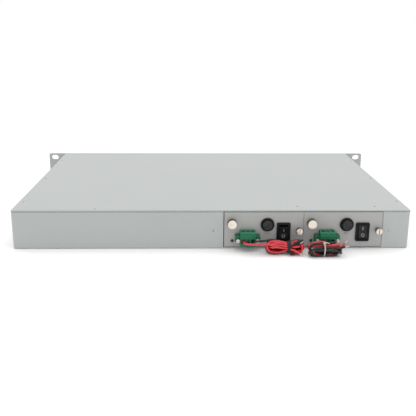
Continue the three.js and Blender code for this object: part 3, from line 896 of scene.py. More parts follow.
    def tie(self) -> bpy.types.Object:
        """What holds the hank: a soft black twist, or a narrow clear strap."""
        outer = self.pinch + self.wire / 2
        name = f"lead_tie_{self.letter}"
        if self.letter == "a":
            low, high = 0.5 * MM, 15.6 * MM
            ring = self.band(outer + 0.4 * MM, (high - low) / 2, 1.4 * MM, 0.7 * MM, (low + high) / 2)
            x, y = self.tie_x, self.middle_y
            head = block(
                "tie_head", (x - 1.4 * MM, y - 3.4 * MM, 14.2 * MM), (x + 1.4 * MM, y - 0.4 * MM, 16.6 * MM)
            )
            eased(head, 0.4 * MM)
            tail = strand(
                "tie_tail",
                [
                    (x, y - 2 * MM, 16 * MM),
                    (x + MM, y - 4.5 * MM, 17 * MM),
                    (x + 4 * MM, y - 7.5 * MM, 16.6 * MM),
                ],
                [0.6 * MM, 0.5 * MM, 0.35 * MM],
            )
            return dress(joined(name, [ring, head, tail]), Finishes.tie_clear)
        ring = self.band(outer + 0.7 * MM, outer + 0.7 * MM, 2.6 * MM, 1.5 * MM, self.middle_z)
        second = self.band(outer + 0.9 * MM, outer + 0.6 * MM, 1.6 * MM, 1.3 * MM, self.middle_z)
        second.data.transform(Matrix.Translation((1.7 * MM, 0, 0)))
        x, y, z = self.tie_x, self.middle_y - outer, self.middle_z
        knot = strand(
            "tie_knot",
            [
                (x - MM, y - 0.6 * MM, z - 2 * MM),
                (x + 0.5 * MM, y - 1.5 * MM, z),
                (x + 2 * MM, y - 0.8 * MM, z + 2 * MM),
            ],
            [1.1 * MM, 1.7 * MM, 1.1 * MM],
        )
        upper = strand(
            "tie_upper",
            [
                (x + MM, y - MM, z + MM),
                (x + 4 * MM, y - 1.5 * MM, z + 4.5 * MM),
                (x + 8.5 * MM, y - 0.5 * MM, z + 7 * MM),
                (x + 12 * MM, y, z + 8.2 * MM),
                (x + 15 * MM, y, z + 8.9 * MM),
            ],
            [0.8 * MM, 0.8 * MM, 1.2 * MM, 1.6 * MM, 1.1 * MM],
        )
        lower = strand(
            "tie_lower",
            [
                (x, y - MM, z - MM),
                (x + 0.5 * MM, y - 2 * MM, z - 4.5 * MM),
                (x + 3 * MM, y - 2.4 * MM, z - 6.2 * MM),
                (x + 6.5 * MM, y - 1.5 * MM, z - 6.5 * MM),
            ],
            [0.8 * MM, 0.9 * MM, 1.2 * MM, 0.9 * MM],
        )
        return dress(joined(name, [ring, second, knot, upper, lower]), Finishes.tie_black)


def line_length(line: np.ndarray) -> float:
    """The length of a line of points."""
    return float(np.linalg.norm(np.diff(line, axis=0), axis=1).sum())


def spaced(line: np.ndarray, step: float) -> np.ndarray:
    """The line again, with points a step apart."""
    along = np.concatenate([[0.0], np.cumsum(np.linalg.norm(np.diff(line, axis=0), axis=1))])
    at = np.linspace(0, along[-1], max(2, round(along[-1] / step) + 1))
    return np.stack([np.interp(at, along, line[:, k]) for k in range(3)], axis=1)


def relaxed(line: np.ndarray, times: int) -> np.ndarray:
    """The line again, with each inner point drawn towards its neighbours."""
    q = line.copy()
    for _ in range(times):
        q[1:-1] = (q[:-2] + 2 * q[1:-1] + q[2:]) / 4
    return q


def smooth_line(points, steps: int = 12) -> np.ndarray:
    """A smooth line through every point, by Catmull and Rom's rule.

    Args:
        points: The places that it passes through.
        steps: How many points it has for each of them.

    Returns:
        The line's points.
    """
    p = np.array(points, float)
    p = np.vstack([2 * p[0] - p[1], p, 2 * p[-1] - p[-2]])
    t = (np.arange(steps) / steps)[:, None]
    line = []
    for a, b, c, d in zip(p, p[1:], p[2:], p[3:]):
        line.append(
            0.5 * (2 * b + (c - a) * t + (2 * a - 5 * b + 4 * c - d) * t**2 + (3 * b - a - 3 * c + d) * t**3)
        )
    return np.vstack([*line, p[-2]])


def lead_hanks(rear: float) -> list[LeadHank]:
    """The two modules' leads, with the routes that they take from their plugs to their hanks.

    Args:
        rear: The Y of the rear wall's outer face.

    Returns:
        The hank of module b and the hank of module a.
    """
    red, black = Finishes.red_insulation, Finishes.black_insulation
    hank_b = LeadHank(
        letter="b",
        low_x=0.0578,
        high_x=0.0976,
        middle_y=rear - 0.01675,
        middle_z=0.00805,
        half_y=0.00795,
        half_z=0.0065,
        tie_x=0.0815,
        pinch=0.0042,
        heading=1,
        entry=-0.12,
        turns=3.06,
        fold=0.0061,
        rear=rear,
        leads=[
            Lead(
                "red",
                red,
                [
                    (33.6, -9.8, 12),
                    (33.6, -15, 12),
                    (34.6, -18.6, 12),
                    (37.6, -21, 12),
                    (42.5, -21.6, 12),
                    (48.5, -21.4, 11.9),
                    (57.1, -20.4, 11.6),
                ],
                [(38, -0.001), (5, -0.0025), (-20, -0.004), (75, 0)],
                [(89, -24.2, 4.2), (93, -25.4, 3.0)],
            ),
            Lead(
                "black",
                black,
                [
                    (43.8, -9.8, 12),
                    (43.8, -13.2, 12.3),
                    (44.8, -16, 13.2),
                    (47.6, -17.8, 14.2),
                    (51.4, -18.2, 14.7),
                    (56.3, -17.6, 14.7),
                ],
                [(20, 0.0015), (-8, 0.001), (-40, 0.003), (10, 0)],
                [(89.5, -20.5, 13.2), (95, -22, 14.6)],
            ),
        ],
    )
    hank_a = LeadHank(
        letter="a",
        low_x=0.1023,
        high_x=0.1375,
        middle_y=rear - 0.0247,
        middle_z=0.0064,
        half_y=0.0061,
        half_z=0.0049,
        tie_x=0.1185,
        pinch=0.0050,
        heading=-1,
        entry=0.2,
        turns=2.62,
        fold=0.0054,
        rear=rear,
        leads=[
            Lead(
                "red",
                red,
                [
                    (120.2, -9.8, 12),
                    (120.2, -13, 12.4),
                    (119.9, -16, 13.4),
                    (118.4, -19, 14.1),
                    (115.4, -21, 14.3),
                    (111, -21.8, 14.2),
                    (106.5, -21.8, 14),
                ],
                [(-20, 0.001), (0, 0.003), (15, 0.0035)],
                [(136.5, -24, 8.5), (140.5, -24.6, 14.2)],
            ),
            Lead(
                "black",
                black,
                [
                    (130.4, -9.8, 12),
                    (130.4, -13, 12.4),
                    (130.2, -16, 13.4),
                    (129, -19.6, 14.1),
                    (126.2, -22.6, 14.3),
                    (121.5, -24.8, 14.2),
                    (114, -25.4, 14.1),
                    (106.5, -25.2, 14),
                ],
                [(5, -0.001), (25, -0.002), (45, -0.002)],
                [(136, -27, 7.2), (139.8, -28.4, 11.4)],
            ),
        ],
    )
    return [hank_b, hank_a]


# ---------------------------------------------------------------- chassis


@dataclass
class Chassis:
    """The folded sheet-metal case, its cover, its front panel and what is fixed inside them."""

    frame: dict
    bend: float = 1.3 * MM
    edge: float = 0.25 * MM
    sheet: float = 1.5 * MM
    flange: float = 13 * MM
    bay: tuple[float, float] = (12.6 * MM, 186.8 * MM)
    pillar_top: float = 7.7 * MM
    pillar_radius: float = 2.5 * MM
    thread_radius: float = 1.3 * MM
    top_flange: float = 12 * MM
    vent_count: int = 12
    vent_start: float = 20 * MM
    vent_pitch: float = 9 * MM
    vent_width: float = 3 * MM
    vent_low: float = 12 * MM
    vent_high: float = 32 * MM

    def build(self) -> None:
        """Makes the case's pieces and dresses the inner nodes."""
        self.shell()
        self.cover()
        self.front()
        self.cover_screws()
        self.jack()
        self.figures()
        self.inner_nodes()

    def shell(self) -> None:
        """The tray, folded from one sheet, with its mouths, side vents, screw holes and board pillars."""
        low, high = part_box("chassis_tray")

        def outer(a: Vector, b: Vector) -> bool:
            """Whether an edge is a fold on the outside of the tray."""
            sides = [abs(abs(p.x) - high.x) < 1e-5 for p in (a, b)]
            backs = [abs(p.y - low.y) < 1e-5 for p in (a, b)]
            floors = [abs(p.z - low.z) < 1e-5 for p in (a, b)]
            return (all(sides) + all(backs) + all(floors)) >= 2

        piece = rounded(block("chassis_shell", low, high), outer, self.bend, 4)
        sheet, past = self.sheet, 1 * MM
        inner = high.x - self.flange
        bay_left, bay_right = self.bay
        cut(
            piece,
            block(
                "hollow",
                (low.x + sheet, low.y + sheet, sheet),
                (high.x - sheet, high.y - sheet, high.z - sheet),
            ),
            block(
                "top",
                (-inner, low.y + self.top_flange, high.z - 2 * sheet),
                (inner, high.y + past, high.z + past),
            ),
            block("front", (-inner, high.y - 2 * sheet, sheet), (inner, high.y + past, high.z + past)),
            block(
                "bay",
                (bay_left, low.y - past, sheet),
                (bay_right, low.y + self.top_flange + past, high.z + past),
            ),
        )
        modified(piece, "TRIANGULATE", min_vertices=5, ngon_method="BEAUTY")
        eased(piece, self.edge, 2)
        holes = []
        for side in (-1, 1):
            x = side * (high.x - sheet / 2)
            for i in range(self.vent_count):
                y = low.y + self.vent_start + i * self.vent_pitch
                foot = (x - sheet, y, self.vent_low)
                holes.append(block("vent", foot, (x + sheet, y + self.vent_width, self.vent_high)))
        for x, y in self.screw_spots():
            if not (bay_left < x < bay_right and y < 0):
                foot, end = (x, y, high.z - 2 * sheet), (x, y, high.z + past)
                holes.append(rod("thread", foot, end, self.thread_radius, 8))
        cut(piece, joined("holes", holes))
        modified(piece, "TRIANGULATE", min_vertices=5, ngon_method="BEAUTY")
        pillars = [
            rod("pillar", (x * MM, y * MM, sheet / 2), (x * MM, y * MM, self.pillar_top), self.pillar_radius)
            for x in (-20, 90, 195)
            for y in (35, 135)
        ]
        piece = shaded(joined("chassis_shell", [piece, *pillars]))
        placed(dress(piece, Finishes.chassis_paint), "root", "chassis_paint", "chassis_tray")

    def screw_spots(self) -> list[tuple[float, float]]:
        """Where the cover's screws are."""
        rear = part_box("top_cover")[0].y
        sides = [(x * 211 * MM, rear + y * MM) for y in (34.5, 145, 255) for x in (-1, 1)]
        return [
            *sides, (-127 * MM, rear + 5 * MM), (94.8 * MM, rear + 14.5 * MM), (180.4 * MM, rear + 14.5 * MM)
        ]

    def cover(self) -> None:
        """The flat cover."""
        piece = eased(rebuilt(self.frame, "top_cover", "cover_sheet"), 0.35 * MM, 3)
        placed(dress(piece, Finishes.chassis_paint), "root", "chassis_paint", "top_cover")

    def front(self) -> None:
        """The front plate with its ears, slots and vents."""
        piece = eased(rebuilt(self.frame, "front_panel", "front_plate"), 0.3 * MM, 3)
        placed(dress(piece, Finishes.chassis_paint), "root", "chassis_paint", "front_panel")

    def cover_screws(self) -> None:
        """Countersunk cross-head screws in the cover."""
        spots = self.screw_spots()
        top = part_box("top_cover")[1].z - 0.12 * MM
        first = turned(
            "screw", [
                (1.2 * MM, top - 1.9 * MM),
                (1.35 * MM, top - 1.3 * MM),
                (3.0 * MM, top - 0.1 * MM),
                (2.9 * MM, top),
            ], 0, 0
        )
        first.data.transform(Matrix.Rotation(math.pi / 2, 4, "X"))
        slots = [
            block("slot", (-1.7 * MM, -0.33 * MM, top - 0.9 * MM), (1.7 * MM, 0.33 * MM, top + 0.3 * MM)),
            block("slot", (-0.33 * MM, -1.7 * MM, top - 0.9 * MM), (0.33 * MM, 1.7 * MM, top + 0.3 * MM)),
        ]
        cut(first, *slots)
        shaded(first, 30)
        screws = []
        for i, (x, y) in enumerate(spots):
            screw = copied(first, f"screw_{i}", (0, 0, 0))
            turn = Matrix.Translation((x, y, 0)) @ Matrix.Rotation(math.radians(23 + 37 * i), 4, "Z")
            screw.data.transform(turn)
            screws.append(screw)
        bpy.data.objects.remove(first)
        placed(dress(joined("cover_screws", screws), Finishes.tinned), "root", "zinc_sheet")

    def jack(self) -> None:
        """The service jack with its eight sprung contacts."""
        piece = eased(rebuilt(self.frame, "service_jack", "jack_body"), 0.2 * MM)
        placed(dress(piece, Finishes.black_plastic), "root", "black_plastic", "service_jack")
        low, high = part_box("service_jack")
        middle = (low.x + high.x) / 2
        wires = []
        for i in range(8):
            x = middle + (i - 3.5) * 1.02 * MM
            points = [
                (x, high.y - 2.2 * MM, low.z + 2.9 * MM),
                (x, high.y - 3 * MM, low.z + 3.6 * MM),
                (x, high.y - 7 * MM, low.z + 5.4 * MM),
                (x, high.y - 11.5 * MM, low.z + 7 * MM),
            ]
            wires.append(strand(f"contact_{i}", points, [0.22 * MM] * 4, 1))
        placed(dress(joined("jack_contacts", wires), Finishes.gold), "root", "nickel")

    def figures(self) -> None:
        """The printed figures that tell the two modules apart."""
        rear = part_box("chassis_tray")[0].y
        for figure, x in (("1", 193.5 * MM), ("2", 1.5 * MM)):
            bpy.ops.object.select_all(action="DESELECT")
            bpy.ops.object.text_add(location=(x, rear - 0.02 * MM, 19 * MM), rotation=(math.pi / 2, 0, 0))
            text = bpy.context.active_object
            text.data.body = figure
            text.data.size = 4.2 * MM
            text.data.extrude = 0.02 * MM
            text.data.align_x = "CENTER"
            bpy.ops.object.convert(target="MESH")
            piece = settled(f"figure_{figure}")
            placed(dress(piece, Finishes.ink_grey), "root", "black_plastic")

    def inner_nodes(self) -> None:
        """The finishes of the nodes inside the case, whose shapes are right as they are."""
        wears = {
            # Painted shade: the zinc rails and the divider wear near black, so that the gaps round the
            # modules read dark.
            "rear_top_rail": Finishes.rail_gap_shade,
            "left_guide_rail": Finishes.rail_gap_shade,
            "bay_divider": Finishes.rail_gap_shade,
            "right_guide_rail": Finishes.rail_gap_shade,
            "backplane_board": Finishes.board_green,
            "control_board": Finishes.board_green,
            "charger_heatsink": Finishes.aluminium_bare,
            "charger_inductor": Finishes.ferrite,
            "bus_capacitor": Finishes.capacitor_sleeve,
            "battery_pack_rear": Finishes.battery_wrap,
            "battery_pack_front": Finishes.battery_wrap,
            "battery_bracket": Finishes.zinc_sheet,
            "battery_harness": Finishes.red_insulation,
            "status_light_bar": Finishes.clear_lens,
            "backplane_socket_a": Finishes.socket_cream,
            "backplane_socket_b": Finishes.socket_cream,
        }
        for node, finish in wears.items():
            dress(self.frame["nodes"][node], finish)


# ---------------------------------------------------------------- power module


class RockerSide(Enum):
    """Which side of a rocker switch is pressed in: the turn of its paddle in degrees."""

    UPPER = -10
    LOWER = 10


@dataclass
class PowerModule:
    """One plug-in module: its tray, what is on its faceplate and what is on its board."""

    frame: dict
    letter: str
    rocker_side: RockerSide
    cap_turn: float
    left: float = 0.0
    rear: float = 0.0

    def __post_init__(self) -> None:
        """Reads the module's place from the frame."""
        low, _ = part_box(self.node("module_tray"))
        self.left, self.rear = low.x, low.y

    def node(self, name: str) -> str:
        """This module's own node or body of that name."""
        return f"{name}_{self.letter}"

    def at(self, x: float, y: float, z: float) -> Point:
        """A place on the module, in millimetres across its faceplate, behind it and above its base."""
        return (self.left + x * MM, self.rear + y * MM, z * MM)

    def add(
        self, piece: bpy.types.Object, finish: Finish, slot: str, *nodes: str, body: str = "module"
    ) -> bpy.types.Object:
        """Dresses a piece and hands it to the frame."""
        return placed(dress(piece, finish), self.node(body), slot, *[self.node(n) for n in nodes])

    def build(self) -> None:
        """Makes the module's pieces."""
        self.tray()
        self.terminal()
        self.fuse()
        self.switch()
        self.lamp()
        self.knob()
        self.captive_screw()
        self.transformer()
        self.heatsink()
        self.capacitors()
        self.board_parts()
        self.edge_plug()
        dress(self.frame["nodes"][self.node("converter_board")], Finishes.board_green)

    def tray(self) -> None:
        """The tray with its faceplate, and the fuse symbol printed on it."""
        piece = eased(rebuilt(self.frame, self.node("module_tray"), self.node("tray_sheet")), 0.25 * MM)
        self.add(piece, Finishes.faceplate_paint, "faceplate_paint", "module_tray")
        x, z = 47.0, 17.3
        lines = [
            ((x - 2.2, z - 0.75), (x + 2.2, z - 0.55)),
            ((x - 2.2, z + 0.55), (x + 2.2, z + 0.75)),
            ((x - 2.2, z - 0.75), (x - 2.0, z + 0.75)),
            ((x + 2.0, z - 0.75), (x + 2.2, z + 0.75)),
            ((x - 3.6, z - 0.1), (x + 3.6, z + 0.1)),
        ]
        bars = [
            eased(block(f"bar_{i}", self.at(x0, -0.03, z0), self.at(x1, 0.05, z1)), 0.015 * MM, 1)
            for i, ((x0, z0), (x1, z1)) in enumerate(lines)
        ]
        self.add(joined(self.node("fuse_symbol"), bars), Finishes.ink_grey, "black_plastic")

    def terminal(self) -> None:
        """The header, and the plug with its clamp screws, clamps and flange screws."""
        header = eased(rebuilt(self.frame, self.node("terminal_header"), self.node("header_body")), 0.2 * MM)
        self.add(header, Finishes.terminal_green, "terminal_green", "terminal_header")
        plug = eased(rebuilt(self.frame, self.node("terminal_plug"), self.node("plug_body")), 0.3 * MM, 3)
        self.add(plug, Finishes.terminal_green, "terminal_green", "terminal_plug", body="lead_plug")
        middle, pitch = 25.2, 5.08
        heads = []
        for k in (-1, 0, 1):
            x = middle + k * pitch
            axis = (self.left + x * MM, self.rear - 7 * MM)
            head = rod(f"head_{k}", (*axis, 18.6 * MM), (*axis, 20.1 * MM), 1.75 * MM, 28)
            slot = block("slot", self.at(x - 2, -7.3, 19.6), self.at(x + 2, -6.7, 21))
            slot.data.transform(
                Matrix.Translation((*axis, 0)) @ Matrix.Rotation(0.5 * k + 0.3, 4, "Z") @ Matrix.Translation(
                    (-axis[0], -axis[1], 0)
                )
            )
            heads.append(eased(cut(head, slot), 0.12 * MM))
        self.add(joined(self.node("clamp_screws"), heads), Finishes.tinned, "nickel", body="lead_plug")
        clamps = []
        for k in (-1, 0, 1):
            x = middle + k * pitch
            cage = block(f"cage_{k}", self.at(x - 1.75, -9.75, 9.8), self.at(x + 1.75, -9.55, 14.2))
            hole = rod("hole", self.at(x, -11, 12), self.at(x, -9, 12), 1.3 * MM, 24)
            clamps.append(cut(cage, hole))
        clamp = joined(self.node("wire_clamps"), clamps)
        # Painted shade: the zinc clamps wear dark metal, so that the wire pockets read dark.
        self.add(clamp, Finishes.clamp_pocket_shade, "zinc_sheet", body="lead_plug")
        screws = []
        for side in (-1, 1):
            x = middle + side * 10.6
            head = turned(
                f"flange_{side}",
                [
                    (1.3 * MM, self.rear - 8.2 * MM),
                    (2.2 * MM, self.rear - 8.9 * MM),
                    (2.3 * MM, self.rear - 10.4 * MM),
                    (2.0 * MM, self.rear - 10.9 * MM),
                ],
                self.left + x * MM,
                12 * MM,
                36,
            )
            slot = block("slot", self.at(x - 3, -12, 11.65), self.at(x + 3, -10.2, 12.35))
            turn = Matrix.Rotation(0.5 * side + 0.2, 4, "Y")
            centre = Vector(self.at(x, 0, 12))
            slot.data.transform(Matrix.Translation(centre) @ turn @ Matrix.Translation(-centre))
            screws.append(eased(cut(head, slot), 0.08 * MM))
        self.add(joined(self.node("flange_screws"), screws), Finishes.tinned, "nickel", body="lead_plug")

    def fuse(self) -> None:
        """The fuse holder, its bayonet cap and the fuse itself."""
        x, outer, z, radius = middle_of(self.node("fuse_holder"))
        rear = self.rear
        holder = turned(
            self.node("holder_body"),
            [
                (radius - 0.3 * MM, outer),
                (radius, outer + 0.4 * MM),
                (radius, rear - 0.3 * MM),
                (5.9 * MM, rear - 0.3 * MM),
                (5.9 * MM, rear + 30 * MM),
            ],
            x,
            z,
            64,
        )
        cut(
            holder,
            rod("bore", (x, rear - 4 * MM, z), (x, rear + 27 * MM, z), 4.1 * MM, 48),
            rod("seat", (x, rear - 4 * MM, z), (x, rear - 1.6 * MM, z), 5.75 * MM, 64),
        )
        self.add(eased(holder, 0.15 * MM), Finishes.black_plastic, "black_plastic", "fuse_holder")
        x, outer, z, radius = middle_of(self.node("fuse_cap"))
        cap = turned(
            self.node("cap_body"),
            [
                (radius - 0.9 * MM, outer),
                (radius - 0.35 * MM, outer + 0.25 * MM),
                (radius, outer + 0.9 * MM),
                (radius, rear - 2.7 * MM),
                (5.4 * MM, rear - 1.75 * MM),
                (3.8 * MM, rear - 1.75 * MM),
                (3.8 * MM, rear + 4 * MM),
            ],
            x,
            z,
            64,
        )
        slot = block(
            "slot",
            (x - 4.2 * MM, outer - MM, z - 0.65 * MM),
            (x + 4.2 * MM, outer + 1.3 * MM, z + 0.65 * MM),
        )
        centre = Vector((x, 0, z))
        turn = Matrix.Rotation(math.radians(self.cap_turn), 4, "Y")
        slot.data.transform(Matrix.Translation(centre) @ turn @ Matrix.Translation(-centre))
        dish = rod("dish", (x, outer - MM, z), (x, outer + 0.45 * MM, z), 3.3 * MM, 48)
        eased(cut(cap, slot, dish), 0.12 * MM)
        self.add(cap, Finishes.cap_black, "black_plastic", "fuse_cap", body="fuse_cap")
        x, start, z, radius = middle_of(self.node("fuse_link"))
        end = start + 20 * MM
        glass = rod(self.node("fuse_tube"), (x, start + 4.6 * MM, z), (x, end - 4.6 * MM, z), 2.3 * MM, 40)
        self.add(eased(glass, 0.1 * MM), Finishes.fuse_glass, "fuse_glass", "fuse_link", body="fuse_carrier")
        caps = [
            eased(rod(f"cap_{y}", (x, y, z), (x, y + 5 * MM, z), radius, 40), 0.3 * MM, 3)
            for y in (start, end - 5 * MM)
        ]
        filament = strand(
            "filament",
            [(x, start + 4 * MM, z), (x, start + 10 * MM, z - 0.2 * MM), (x, end - 4 * MM, z)],
            [0.14 * MM] * 3,
            1,
        )
        self.add(
            joined(self.node("fuse_ends"), [*caps, filament]), Finishes.tinned, "nickel", body="fuse_carrier"
        )

    def switch(self) -> None:
        """The rocker switch: its bezel, its paddle and the two marks on it."""
        housing = rebuilt(self.frame, self.node("switch_housing"), self.node("switch_bezel"))
        low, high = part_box(self.node("switch_housing"))

        def corner(a: Vector, b: Vector) -> bool:
            """Whether an edge is one of the bezel's four corners."""
            sides = all(min(p.x - low.x, high.x - p.x) < 1e-5 for p in (a, b))
            ends = all(min(p.z - low.z, high.z - p.z) < 1e-5 for p in (a, b))
            return sides and ends and abs(a.y - b.y) > MM

        eased(rounded(housing, corner, 1.5 * MM, 5), 0.4 * MM, 3)
        self.add(housing, Finishes.black_plastic, "black_plastic", "switch_housing")
        paddle = eased(
            rebuilt(self.frame, self.node("switch_rocker"), self.node("rocker_paddle")), 0.4 * MM, 3, 20
        )
        self.add(paddle, Finishes.rocker_black, "black_plastic", "switch_rocker", body="rocker")
        low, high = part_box(self.node("switch_rocker"))
        x = (low.x + high.x) / 2
        pivot = Vector((x, self.rear + 1 * MM, 19.2 * MM))
        turn = Matrix.Rotation(math.radians(self.rocker_side.value), 4, "X")
        slope = math.atan2(1.7, 7.2)
        bar = block("bar", (-0.45 * MM, -0.06 * MM, -1.7 * MM), (0.45 * MM, 0.06 * MM, 1.7 * MM))
        bpy.ops.object.select_all(action="DESELECT")
        bpy.ops.mesh.primitive_torus_add(
            rotation=(
                math.pi / 2, 0, 0
            ), major_radius=1.5 * MM, minor_radius=0.3 * MM, major_segments=40, minor_segments=8
        )
        ring = settled("ring")
        ring.data.transform(Matrix.Diagonal((1, 0.3, 1, 1)))
        for mark, side in ((bar, 1), (ring, -1)):
            face = Matrix.Translation(
                (0, -4.28 * MM, side * 3.6 * MM)
            ) @ Matrix.Rotation(side * slope, 4, "X")
            mark.data.transform(Matrix.Translation(pivot) @ turn @ face)
        marks = joined(self.node("rocker_marks"), [bar, ring])
        self.add(shaded(marks, 30), Finishes.mark_white, "black_plastic", body="rocker")

    def lamp(self) -> None:
        """The unlit lamp: a domed lens."""
        x, outer, z, radius = middle_of(self.node("status_lamp"))
        rear = self.rear
        steps = 6
        dome = []
        for i in range(steps + 1):
            angle = math.pi / 2 * i / steps
            dome.append(
                (
                    radius * max(0.12, math.sin(angle)),
                    outer + (rear - 0.3 * MM - outer) * (1 - math.cos(angle)),
                )
            )
        piece = turned(self.node("lamp_lens"), [*dome, (radius, rear + 3.6 * MM)], x, z, 32)
        self.add(shaded(piece), Finishes.dark_lens, "dark_lens", "status_lamp")

    def bright_faced(self, piece: bpy.types.Object, outer: float) -> None:
        """Gives a turned piece's outermost face the nickel colour and its knurled side a much darker copy of
        it, painted shade.
        """

        def on_face(centre: Vector, normal: Vector) -> bool:
            """Whether a face looks outwards at the very end of the piece."""
            return normal.y < -0.3 and centre.y < outer + 1.6 * MM

        two_toned(piece, on_face, Finishes.nickel_shaded_side, Finishes.nickel_face)

    def knob(self) -> None:
        """The pull knob with its knurled rim."""
        x, outer, z, radius = middle_of(self.node("pull_knob"))
        rear = self.rear
        rim = [outer + 0.95 * MM + i * 0.85 * MM for i in range(8)]
        piece = turned(
            self.node("knob_body"),
            [
                (radius - 0.55 * MM, outer),
                (radius - 0.25 * MM, outer + 0.1 * MM),
                (radius - 0.12 * MM, outer + 0.3 * MM),
                *[(radius - 0.12 * MM, y) for y in rim],
                (radius - 0.5 * MM, rear - 1.9 * MM),
                (3.4 * MM, rear - 1.4 * MM),
                (3.4 * MM, rear - 0.3 * MM),
                (1.4 * MM, rear - 0.3 * MM),
                (1.4 * MM, rear + 4 * MM),
            ],
            x,
            z,
            56,
        )
        shaded(piece, 35)

        def on_rim(centre: Vector, normal: Vector) -> bool:
            """Whether a face is one of the rim's small squares."""
            return abs(normal.y) < 0.1 and rim[0] < centre.y < rim[-1]

        poked(piece, on_rim, 0.16 * MM)
        self.bright_faced(piece, outer)
        placed(piece, self.node("module"), "nickel", self.node("pull_knob"))

    def captive_screw(self) -> None:
        """The captive screw with its slotted, knurled head, and the ring that keeps it."""
        x, outer, z, radius = middle_of(self.node("captive_screw"))
        rear = self.rear
        rim = [outer + 0.8 * MM + i * 0.72 * MM for i in range(6)]
        threads = []
        for i in range(22):
            y = rear + (7.2 + 0.25 * i) * MM
            threads.append((1.45 * MM if i % 2 else 1.22 * MM, y))
        piece = turned(
            self.node("screw_body"),
            [
                (radius - 0.5 * MM, outer),
                (radius - 0.15 * MM, outer + 0.25 * MM),
                *[(radius - 0.1 * MM, y) for y in rim],
                (2.6 * MM, rear - 2.6 * MM),
                (2.6 * MM, rear - 0.3 * MM),
                (1.3 * MM, rear - 0.3 * MM),
                (1.3 * MM, rear + 7 * MM),
                *threads,
            ],
            x,
            z,
            40,
        )
        slot = block(
            "slot", (x - 0.5 * MM, outer - MM, z - 5 * MM), (x + 0.5 * MM, outer + 1.4 * MM, z + 5 * MM)
        )
        cut(piece, slot)
        shaded(piece, 30)

        def on_rim(centre: Vector, normal: Vector) -> bool:
            """Whether a face is one of the head's small squares."""
            return abs(normal.y) < 0.1 and rim[0] < centre.y < rim[-1] and abs(centre.x - x) > 0.6 * MM

        poked(piece, on_rim, 0.12 * MM)
        self.bright_faced(piece, outer)
        placed(piece, self.node("captive_screw"), "nickel", self.node("captive_screw"))
        dress(self.frame["nodes"][self.node("captive_ring")], Finishes.zinc_sheet)

    def transformer(self) -> None:
        """A ferrite core over a taped winding, on a pinned bobbin."""
        low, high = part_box(self.node("transformer"))
        x, y = (low.x + high.x) / 2, (low.y + high.y) / 2
        core = [
            block("limb", (low.x, y - 5 * MM, low.z + 2 * MM), (low.x + 4.5 * MM, y + 5 * MM, high.z)),
            block("limb", (high.x - 4.5 * MM, y - 5 * MM, low.z + 2 * MM), (high.x, y + 5 * MM, high.z)),
            block(
                "yoke",
                (low.x + 4.5 * MM, y - 5 * MM, high.z - 4 * MM),
                (high.x - 4.5 * MM, y + 5 * MM, high.z),
            ),
        ]
        for part in core:
            eased(part, 0.5 * MM)
        self.add(joined(self.node("transformer_core"), core), Finishes.ferrite, "ferrite", "transformer")
        tape = turned(
            "tape",
            [(9.6 * MM, -8.5 * MM), (10.2 * MM, -8.2 * MM), (10.2 * MM, 8.2 * MM), (9.6 * MM, 8.5 * MM)],
            0,
            0,
        )
        tape.data.transform(
            Matrix.Translation((x, y, low.z + 12 * MM)) @ Matrix.Rotation(math.pi / 2, 4, "X")
        )
        self.add(shaded(tape), Finishes.winding_tape, "ferrite").name = self.node("transformer_winding")
        base = eased(
            block("base", (x - 13 * MM, y - 13 * MM, low.z), (x + 13 * MM, y + 13 * MM, low.z + 3 * MM)),
            0.6 * MM,
        )
        pins = [
            rod(
                "pin",
                (x + i * 4 * MM, y + s * 12 * MM, low.z - 0.2 * MM),
                (x + i * 4 * MM, y + s * 12 * MM, low.z + 4.5 * MM),
                0.4 * MM,
                10,
            )
            for i in (-2, -1, 0, 1, 2)
            for s in (-1, 1)
        ]
        self.add(base, Finishes.chip_black, "ferrite").name = self.node("transformer_base")
        self.add(joined(self.node("transformer_pins"), pins), Finishes.tinned, "nickel")

    def heatsink(self) -> None:
        """The finned heatsink with two power transistors screwed to its side."""
        piece = eased(rebuilt(self.frame, self.node("heatsink"), self.node("heatsink_body")), 0.2 * MM)
        self.add(piece, Finishes.aluminium_bare, "aluminium_bare", "heatsink")
        low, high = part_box(self.node("heatsink"))
        cases, metal = [], []
        for y in (low.y + 10 * MM, low.y + 27 * MM):
            x = high.x + 0.3 * MM
            cases.append(
                eased(
                    block(
                        "case",
                        (x + 0.9 * MM, y - 5 * MM, low.z + 3 * MM),
                        (x + 4.3 * MM, y + 5 * MM, low.z + 12 * MM),
                    ),
                    0.3 * MM,
                )
            )
            metal.append(
                eased(
                    block(
                        "tab", (x, y - 5 * MM, low.z + 3 * MM), (x + 1.2 * MM, y + 5 * MM, low.z + 18 * MM)
                    ),
                    0.2 * MM,
                )
            )
            metal.append(
                rod("screw", (x, y, low.z + 15.5 * MM), (x + 2.6 * MM, y, low.z + 15.5 * MM), 2.4 * MM, 24)
            )
            for k in (-2.54, 0, 2.54):
                metal.append(
                    block(
                        "leg",
                        (x + 2.2 * MM, y + (k - 0.4) * MM, low.z - 0.3 * MM),
                        (x + 2.7 * MM, y + (k + 0.4) * MM, low.z + 3.2 * MM),
                    )
                )
        self.add(joined(self.node("transistors"), cases), Finishes.chip_black, "ferrite")
        self.add(joined(self.node("transistor_tabs"), metal), Finishes.tinned, "nickel")

